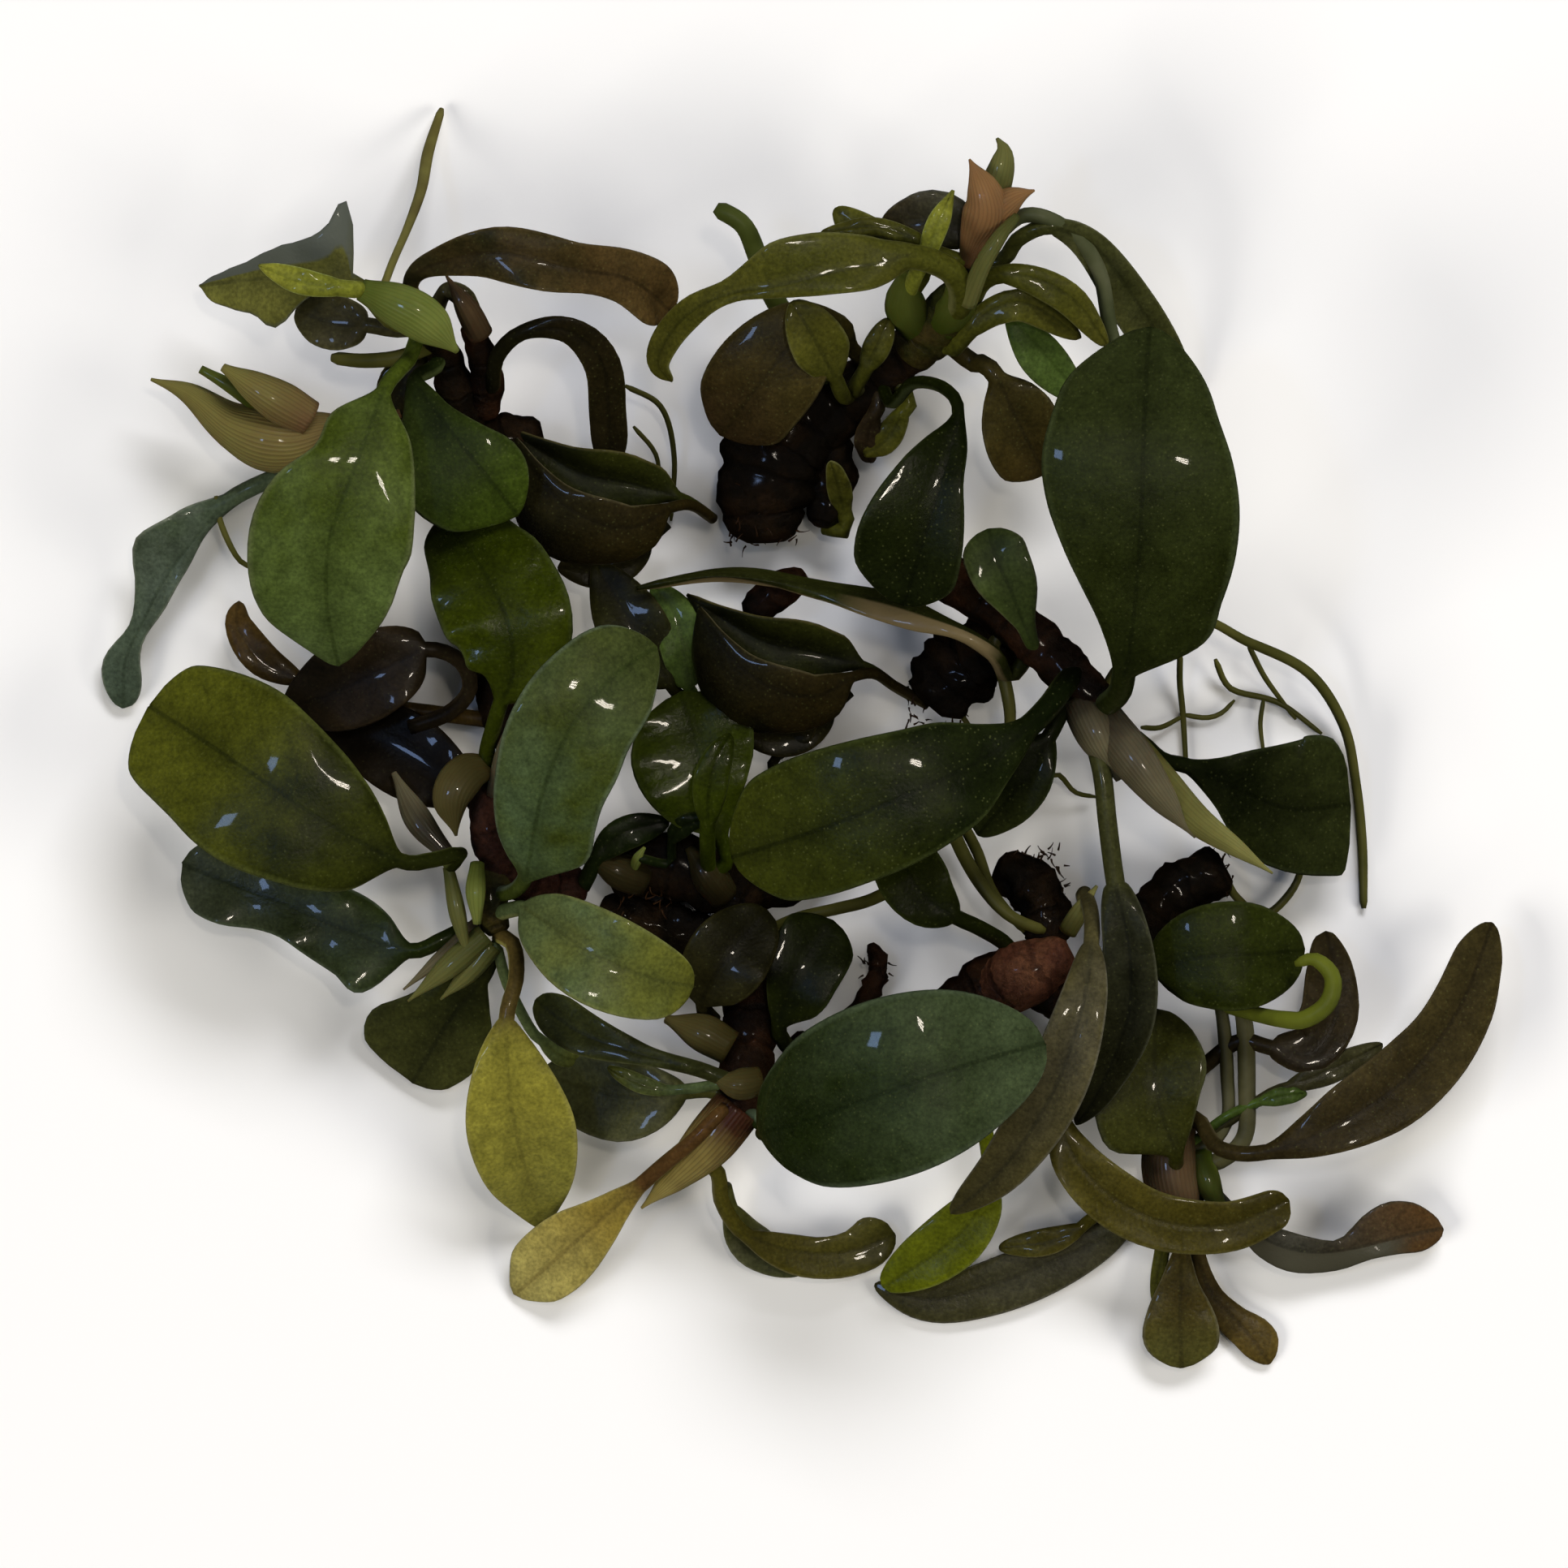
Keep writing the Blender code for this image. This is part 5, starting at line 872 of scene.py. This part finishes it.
leaf("north_stalked", [(59.8, 22.2, 5.4), (60.6, 22.4, 6.0), (61.4, 23.2, 6.2), (62.6, 25.8, 5.6),
      (64.4, 29.2, 4.0)], 2, [1.9, 2.5, 2.6, 2.5, 2.3, 1.7], [1.5, 2.2, 2.6, 2.7, 2.5, 1.8], north_stalked,
     "leaf_north_stalked", stalk=0.6)
leaf("north_speckled", [(54.9, 24.8, 6.4), (56.3, 23.6, 9.0), (58.2, 24.0, 11.4), (59.0, 25.6, 12.4),
      (57.9, 29.6, 13.4), (56.8, 33.4, 13.2), (55.6, 37.3, 11.6)], 3, [1.1, 1.5, 2.2, 2.7, 2.8, 2.2],
     [1.7, 2.9, 3.8, 4.2, 3.8, 2.6], north_speckled, "leaf_north_speckled", stalk=0.4)
leaf("north_fan", [(59.8, 18.6, 8.0), (60.5, 17.4, 8.8), (61.8, 16.9, 9.2), (64.0, 17.3, 9.4),
      (66.2, 18.6, 9.0), (68.2, 21.3, 7.8)], 2, 0.9, 1.2, north_olive, stalk=0.6)
leaf("north_fan_low", [(58.4, 21.6, 6.8), (59.8, 20.2, 8.0), (61.4, 19.0, 8.6), (63.4, 18.8, 8.6),
      (66.6, 20.8, 7.4)], 1, 0.9, 1.2, north_olive, stalk=0.65)
leaf("north_small", [(60.6, 19.4, 7.0), (61.4, 19.2, 7.2), (62.1, 19.6, 7.3), (63.6, 21.0, 7.1),
      (65.2, 22.8, 6.4), (66.8, 24.6, 5.6)], 2, 1.2, 1.7, bright_green, ends=(0.9, 0.6), stalk=0.3)
leaf("north_behind", [(57.0, 16.6, 8.8), (56.0, 15.8, 9.2), (53.6, 14.8, 9.4), (51.4, 12.9, 9.0)], 1, 1.3,
     1.4, north_fresh)
leaf("north_behind_b", [(57.2, 15.4, 9.8), (56.4, 14.8, 10.2), (53.8, 14.0, 10.4), (50.6, 14.4, 10.0)], 1,
     0.6, 0.6, north_olive)
leaf("north_arch", [(60.2, 16.6, 8.4), (59.6, 15.0, 9.0), (58.0, 13.7, 9.4), (56.2, 13.9, 9.2),
      (54.2, 14.3, 8.4)], 1, 1.6, 2.0, north_grey, ends=(0.5, 0.6))
leaf("north_lime", [(56.4, 17.0, 10.4), (57.0, 15.9, 11.0), (57.7, 14.0, 11.4), (58.7, 11.8, 11.2)], 1, 0.75,
     0.75, nw_lime, ends=(0.8, 1.1))
leaf("north_inner", [(52.0, 24.4, 6.6), (51.4, 23.2, 8.8), (50.2, 20.9, 10.6), (48.8, 18.6, 11.0)], 1, 1.8,
     1.9, north_olive)
leaf("north_inner_b", [(52.6, 24.0, 6.4), (53.4, 22.6, 7.8), (54.2, 21.0, 8.4), (54.8, 19.6, 8.4)], 1, 0.9,
     0.9, north_olive)
leaf("north_low_a", [(52.2, 32.6, 2.6), (52.0, 31.4, 2.8), (51.6, 29.6, 4.6), (51.2, 28.4, 5.8)], 1, 0.8,
     0.8, north_olive)
leaf("north_low_b", [(56.0, 24.6, 5.0), (55.6, 25.4, 5.0), (54.6, 27.0, 4.6), (53.2, 27.9, 3.8)], 1, 0.9,
     0.9, north_olive)
leaf("north_low_c", [(54.2, 24.6, 5.2), (53.8, 25.6, 5.0), (53.4, 27.0, 4.4), (53.6, 28.4, 3.2)], 1, 0.9,
     0.8, old_brown)

# Leaves of the east crown. The largest leaf of the clump stands highest here, with a long speckled one
# reaching over the middle, one seen edge-on, a blunt one over the roots and a folded one hanging to the
# south.
east_large = leaf_skin("largest dark green leaf", "#1b2007", "#242a0c", "#282e12", "#0f1305", "#3a4226",
    0.36)
east_edge = leaf_skin("leaf seen on its edge", "#23260b", "#30350e", "#2a2c0e", "#141606", "#685b3e", 0.24,
    turned=-0.14, until=0.46)
east_blunt = leaf_skin("blunt dark leaf", "#0d1103", "#171b07", "#22270c", "#070a02", "#2c321c", 0.34)
east_speckled = leaf_skin("long speckled leaf", "#0c1203", "#191f08", "#34390a", "#080c03", "#38401e", 0.3,
    specks=0.26)
east_hanging = leaf_skin("hanging folded leaf", "#1a1b0a", "#2a2b1c", "#1c1c0a", "#0f100a", "#434434", 0.28,
    petiole="#33341a")
east_grey = leaf_skin("small grey green leaf", "#2f3a16", "#3e4a22", "#3a4420", "#1c240c", "#55573c", 0.34)

leaf("east_large", [(67.9, 43.6, 9.4), (68.9, 42.7, 11.0), (69.2, 41.4, 12.8), (69.6, 39.2, 14.8),
      (70.1, 33.6, 17.7), (70.3, 27.2, 18.2), (70.7, 20.3, 15.2)], 2,
     [1.8, 3.3, 4.8, 5.9, 6.3, 5.7, 4.8, 3.4], [4.6, 5.4, 6.0, 6.1, 5.6, 4.6, 3.7, 2.8], east_large,
     "leaf_east_large", fold=(4, 4), curl=(-14, -14), stalk=0.75, wave=0.15)
leaf("east_edge", [(62.2, 41.7, 7.3), (61.2, 40.3, 8.6), (58.6, 38.7, 8.8), (54.8, 37.3, 7.8),
      (50.0, 36.3, 7.0), (44.4, 35.6, 6.6), (39.2, 36.2, 6.0)], 1, [0.6, 1.1, 1.2, 0.6, 0.14, 0.1, 0.1, 0.1],
     [0.8, 1.2, 1.5, 1.6, 1.5, 1.3, 1.0, 0.6], east_edge, "leaf_east_edge", roll=(58, 66, 64), fold=(-44, 4))
leaf("east_blunt", [(70.2, 45.6, 8.6), (71.6, 46.8, 7.8), (73.2, 47.2, 7.2), (75.6, 48.3, 6.2),
      (79.4, 49.8, 4.4), (83.3, 49.5, 2.8)], 2, [1.5, 3.0, 4.1, 4.7, 4.7, 4.0],
     [1.2, 2.4, 3.4, 4.0, 4.4, 4.6], east_blunt, "leaf_east_blunt", blunt=0.9, fold=(4, 4))
leaf("east_speckled", [(66.2, 41.4, 9.0), (65.4, 42.4, 10.4), (64.6, 43.5, 11.6), (63.3, 44.8, 12.6),
      (61.4, 46.2, 13.6), (57.3, 48.3, 15.0), (51.2, 50.8, 14.4), (45.1, 52.8, 11.2)], 3,
     [1.9, 3.3, 3.9, 4.2, 4.2, 4.1, 3.7, 2.8], [1.9, 3.3, 3.9, 4.4, 4.7, 4.7, 4.2, 3.1], east_speckled,
     "leaf_east_speckled", fold=(5, 5), curl=(-12, -12), blunt=0.84, stalk=0.75)
leaf("east_hanging", [(67.4, 45.6, 9.4), (67.9, 47.8, 9.8), (68.2, 50.6, 9.8), (68.7, 54.4, 9.6),
      (69.5, 58.6, 9.4), (69.4, 62.6, 8.4), (67.8, 66.8, 6.8), (66.3, 69.3, 5.6)], 3, 1.9, 1.9, east_hanging,
     "leaf_east_hanging", ends=(0.6, 0.7), fold=(20, 20), stalk=0.6)
leaf("east_grey", [(64.4, 40.4, 8.6), (63.6, 39.6, 9.2), (63.0, 38.2, 9.8), (62.3, 36.4, 10.4),
      (61.4, 34.4, 10.6), (60.9, 32.6, 10.2)], 1, [0.6, 1.2, 1.8, 2.1, 2.1, 1.7],
     [0.7, 1.3, 1.8, 2.0, 2.0, 1.6], east_grey)
leaf("east_small", [(65.8, 42.6, 8.4), (65.4, 43.8, 9.2), (64.6, 45.4, 9.8), (62.8, 48.3, 9.6),
      (60.2, 51.4, 8.2)], 2, 1.9, 2.0, east_blunt)

# Leaves of the southeast crowns. Narrow brown and olive blades, several curled or sickle-shaped, that spray
# out low over the surface; the two spoons and the folded one under them lie on it.
se_grey = leaf_skin("grey green leaf back", "#443f24", "#4d4834", "#3c3718", "#26251a", "#5c5a4c", 0.3)
se_green = leaf_skin("rounded olive green leaf", "#1a1f03", "#242a06", "#232907", "#0e1202", "#343a1a", 0.32)
se_olive = leaf_skin("short olive leaf", "#252607", "#313210", "#2b2c0c", "#161705", "#40422a", 0.3)
se_sickle = leaf_skin("brown sickle leaf", "#2a230f", "#342c15", "#362f15", "#17120a", "#473f2a", 0.34)
se_curled = leaf_skin("curled dark brown leaf", "#211b0e", "#30281a", "#2b2412", "#110d06", "#403724", 0.26)
se_boat = leaf_skin("boat-shaped olive leaf", "#3e380f", "#49431a", "#36300c", "#221f0a", "#57522c", 0.26)
se_twisted = leaf_skin("twisted wet brown leaf", "#34332a", "#444238", "#4c3519", "#24231a", "#3d3b2e", 0.3,
    turned=0.1, until=0.84)
se_spoon = leaf_skin("spoon-shaped olive leaf", "#3a3010", "#4d4624", "#45431c", "#28240f", "#625e48", 0.26)
se_spoon_tip = leaf_skin("amber spoon-shaped leaf", "#3a3016", "#4a3d1c", "#5a4a1e", "#28200f", "#5e5230",
    0.28)
se_lime = leaf_skin("bright olive young leaf", "#50570a", "#5c6212", "#5a620a", "#34390a", "#646a30", 0.24,
    specks=0.12)
se_folded = leaf_skin("grey folded leaf", "#34321c", "#3f3d2c", "#3c3a20", "#22200f", "#57554a", 0.24)

leaf("se_grey", [(66.8, 55.0, 4.4), (67.2, 56.2, 7.4), (67.2, 58.2, 9.7), (66.6, 62.0, 11.3),
      (64.9, 67.0, 10.8), (62.0, 71.6, 8.4), (58.6, 74.8, 5.6)], 2, 2.0, 2.0, se_grey, "leaf_se_grey",
     ends=(0.7, 0.6))
leaf("se_green", [(70.4, 61.4, 4.2), (71.2, 59.8, 6.0), (74.0, 59.0, 7.2), (77.4, 58.8, 7.0),
      (80.4, 58.6, 5.2)], 1, 3.4, 3.5, se_green, "leaf_se_green", widest=0.5, ends=(0.5, 0.5), fold=(5, 5),
     curl=(-8, -8))
leaf("se_olive", [(72.2, 71.8, 2.6), (72.5, 71.2, 4.6), (71.3, 67.0, 5.3), (71.3, 62.2, 4.0)], 1,
     [3.7, 4.3, 4.0, 3.7, 2.9, 2.1], [1.6, 2.5, 3.2, 3.2, 2.5, 1.9], se_olive, "leaf_se_olive")
leaf("se_sickle", [(73.8, 69.0, 3.4), (75.2, 70.8, 5.0), (78.1, 71.0, 5.8), (82.5, 69.4, 6.2),
      (86.8, 66.4, 5.4), (90.0, 62.2, 4.0), (92.1, 56.9, 2.2)], 2, [1.5, 2.3, 2.5, 2.4, 2.1, 2.0, 1.8, 1.3],
     [1.2, 1.9, 2.4, 2.5, 2.4, 2.1, 1.5, 1.0], se_sickle, "leaf_se_sickle", blunt=0.88)
leaf("se_curled", [(71.4, 68.6, 2.2), (72.6, 67.2, 2.4), (74.2, 65.8, 2.6), (76.4, 64.2, 3.2),
      (78.4, 64.6, 3.6), (80.9, 65.0, 3.6), (82.4, 62.8, 3.2), (82.4, 60.0, 2.6), (81.8, 57.4, 2.0)], 4, 2.4,
     1.4, se_curled, "leaf_se_curled", ends=(0.6, 0.45))
leaf("se_boat", [(66.1, 65.2, 4.4), (65.3, 68.4, 4.8), (66.6, 72.0, 5.0), (70.6, 75.0, 4.6),
      (75.4, 75.6, 4.2), (79.5, 74.0, 4.4)], 1, [1.5, 1.9, 1.9, 1.8, 1.5, 1.1],
     [1.5, 1.9, 1.9, 1.8, 1.7, 1.4], se_boat, "leaf_se_boat", fold=(18, 18), blunt=0.94)
leaf("se_twisted", [(73.6, 72.6, 2.0), (75.0, 73.8, 2.3), (76.6, 75.4, 2.3), (78.6, 76.7, 2.0),
      (81.0, 77.2, 1.7), (83.6, 77.0, 1.6), (86.2, 76.4, 1.4), (89.1, 75.8, 1.0)], 2,
     [0.9, 1.1, 1.0, 0.7, 1.9, 2.5, 2.1, 1.5], [1.1, 1.4, 1.4, 1.3, 0.9, 1.0, 1.2, 1.1], se_twisted,
     "leaf_se_twisted", roll=(0, 16, 8, 0), wave=0.2, blunt=0.85)
leaf("se_spoon", [(73.0, 73.8, 2.0), (72.9, 77.0, 1.9), (72.8, 79.6, 1.7), (72.8, 82.0, 1.5),
      (72.9, 84.44, 1.1)], 1, [0.8, 1.2, 1.8, 2.3, 2.5, 2.3, 1.6], [0.9, 1.3, 1.8, 2.2, 2.4, 2.1, 1.5],
     se_spoon, "leaf_se_spoon", fold=(6, 6))
leaf("se_spoon_b", [(73.6, 74.0, 1.4), (73.9, 77.4, 0.9), (74.7, 79.8, 0.7), (76.2, 81.4, 0.5),
      (77.4, 82.8, 0.45), (78.4, 84.2, 0.4)], 1, [0.6, 0.7, 0.75, 0.9, 1.4, 1.5, 1.2],
     [0.6, 0.7, 1.0, 1.2, 1.1, 1.0, 0.8], se_spoon_tip, "leaf_se_spoon_b", fold=(4, 4), wave=0.0)
leaf("se_lime", [(59.6, 65.0, 2.8), (60.6, 69.0, 3.8), (60.9, 73.0, 3.6), (59.0, 76.2, 2.9),
      (54.4, 79.4, 1.8)], 2, 2.0, 2.0, se_lime, "leaf_se_lime", ends=(0.6, 0.5))
leaf("se_folded", [(71.6, 73.6, 1.2), (69.4, 75.6, 0.9), (65.4, 77.6, 0.8), (60.8, 79.4, 0.6),
      (57.2, 80.2, 0.5), (53.9, 79.3, 0.4)], 1, 2.0, 1.6, se_folded, "leaf_se_folded", ends=(0.6, 0.6),
     fold=(6, 6), wave=0.0)
leaf("se_small", [(62.2, 58.4, 4.6), (60.4, 57.2, 5.8), (58.9, 56.5, 6.6), (57.0, 55.2, 7.0),
      (55.6, 53.0, 7.2), (54.8, 50.0, 6.4)], 2, 2.2, 2.3, south_green, "leaf_se_small", ends=(0.7, 0.5))
leaf("se_pale_tip", [(73.0, 71.2, 2.2), (76.0, 69.0, 3.0), (78.4, 67.4, 3.4), (79.5, 67.0, 3.6),
      (82.0, 66.0, 3.6), (85.3, 64.4, 3.0)], 3, 0.9, 0.9, se_folded, stalk=0.35)
leaf("se_green_chip", [(73.2, 70.8, 2.4), (75.4, 69.0, 3.2), (77.0, 68.2, 3.4), (77.8, 67.9, 3.6),
      (79.0, 67.6, 3.8), (80.6, 67.4, 3.6)], 3, 0.6, 0.6, bright_green, stalk=0.3)
leaf("se_spear", [(72.0, 75.6, 1.6), (71.8, 76.6, 1.4), (71.5, 78.4, 1.2), (71.2, 80.3, 0.8)], 1, 0.5, 0.5,
     north_fresh, wave=0.0)

# Root hairs. Old stumps end in tufts of short dark rootlets, too fine to tell one from the next, and one
# loose tuft lies by the scrap of rhizome in the middle.
hair_skin = root_skin("dark root hair", "#1a110a", "#33200f")


def tuft(name, middle, spread, count, length, seed):
    """Short curved hairs that spring from a spot and lean out from it."""
    foot, taper, lowest = 0.07, 0.04, 0.06
    draw = random.Random(seed)
    work = bmesh.new()
    for _ in range(count):
        turn = draw.uniform(0, 2 * math.pi)
        scatter = Vector((draw.uniform(-1, 1), draw.uniform(-1, 1), draw.uniform(-0.6, 0.6)))
        start = on_sheet(middle) + scatter * spread
        lean = Vector((math.cos(turn), math.sin(turn), draw.uniform(-0.2, 0.9))).normalized()
        bow = Vector((-lean.y, lean.x, draw.uniform(-0.5, 0.3))) * draw.uniform(-0.9, 0.9)
        reach = length * draw.uniform(0.5, 1.0)
        aim = lean.to_track_quat("Z", "Y").to_matrix()
        hair = unit_tube(4, 4)
        for vertex in hair.verts:
            share = vertex.co.z / 3
            radius = foot - taper * share
            flat = aim @ Vector((vertex.co.x * radius, vertex.co.y * radius, 0))
            place = start + flat + (lean * share + bow * share * share) * reach
            place.z = max(place.z, lowest)
            vertex.co = place * MM
        strand = bpy.data.meshes.new("strand")
        hair.to_mesh(strand)
        hair.free()
        work.from_mesh(strand)
        bpy.data.meshes.remove(strand)
    return grown(name, work, hair_skin)


tuft("middle_tuft", (54.0, 60.0, 1.4), 0.8, 22, 0.7, 3)
tuft("hub_tuft", (39.6, 54.6, 3.2), 1.6, 60, 0.7, 5)
tuft("north_tuft", (47.0, 31.4, 3.2), 2.2, 80, 0.7, 7)
tuft("east_tuft", (57.6, 43.4, 2.8), 1.8, 50, 0.6, 9)
tuft("southeast_tuft", (64.2, 53.8, 2.8), 1.5, 60, 0.7, 11)
tuft("chunk_tuft", (74.6, 53.8, 2.2), 1.5, 50, 0.6, 13)

# The surface and the light. A plain matt white sheet in a dim room, lit softly by tall windows and two pale
# walls. Three ceiling tubes and one far window are small, and the only lights that the wet skins mirror.
paper = bpy.data.materials.new("matt white sheet")
paper.use_nodes = True
feed(paper.node_tree.nodes["Principled BSDF"], {"Base Color": linear("#f4f4f2"), "Roughness": 0.9})
work = bmesh.new()
bmesh.ops.create_grid(work, x_segments=1, y_segments=1, size=3.0)
sheet = bpy.data.meshes.new("white_sheet")
work.to_mesh(sheet)
work.free()
sheet.materials.append(paper)
floor = bpy.data.objects.new("white_sheet", sheet)
bpy.context.scene.collection.objects.link(floor)
floor.visible_glossy = False

world = bpy.data.worlds.new("dim room")
bpy.context.scene.world = world
world.use_nodes = True
feed(world.node_tree.nodes["Background"], {"Color": linear("#eef2f8"), "Strength": 0.08})
world.cycles_visibility.glossy = False


def lamp(name, place, size, power, colour, mirrored=True):
    """A rectangular lamp aimed at the clump. The wet skins don't show one that isn't mirrored."""
    light = bpy.data.lights.new(name, "AREA")
    light.shape = "RECTANGLE"
    light.size, light.size_y = size
    light.energy = power
    light.color = linear(colour)[:3]
    holder = bpy.data.objects.new(name, light)
    bpy.context.scene.collection.objects.link(holder)
    holder.location = place
    holder.rotation_euler = (Vector((0, 0, 0.01)) - Vector(place)).to_track_quat("-Z", "Y").to_euler()
    holder.visible_glossy = mirrored


lamp("tall_windows", (0.5, 1.3, 1.25), (1.1, 0.5), 25.5, "#fbfaff", mirrored=False)
lamp("white_wall", (-1.3, -0.7, 1.1), (0.9, 0.7), 18.5, "#fffaf2", mirrored=False)
lamp("side_wall", (1.5, -0.4, 1.0), (0.9, 0.7), 15, "#fffaf2", mirrored=False)
for k in range(3):
    lamp(f"ceiling_tube_{k}", (0.16, 0.2 + 0.035 * k, 1.5), (0.12, 0.012), 0.6, "#fff4e4")
lamp("far_window", (-0.55, 0.12, 1.3), (0.16, 0.12), 0.9, "#a8c8ff")

# The camera looks straight down from a metre and a half, as the photograph does. Its picture is 96.6 mm
# across at the height of the middle leaves, 8 mm above the surface.
SENSOR = 36
PICTURE = 0.0966
CAMERA_HEIGHT = 1.5
camera_data = bpy.data.cameras.new("overhead")
camera_data.sensor_width = SENSOR
camera_data.lens = SENSOR * 1.492 / PICTURE
camera_data.clip_start = 0.05
camera_data.clip_end = 20
camera = bpy.data.objects.new("overhead", camera_data)
bpy.context.scene.collection.objects.link(camera)
camera.location = ((48.3 - SHEET_CENTRE[0]) * MM, (SHEET_CENTRE[1] - 48.3) * MM, CAMERA_HEIGHT)
bpy.context.scene.camera = camera
bpy.context.scene.view_settings.view_transform = "Standard"
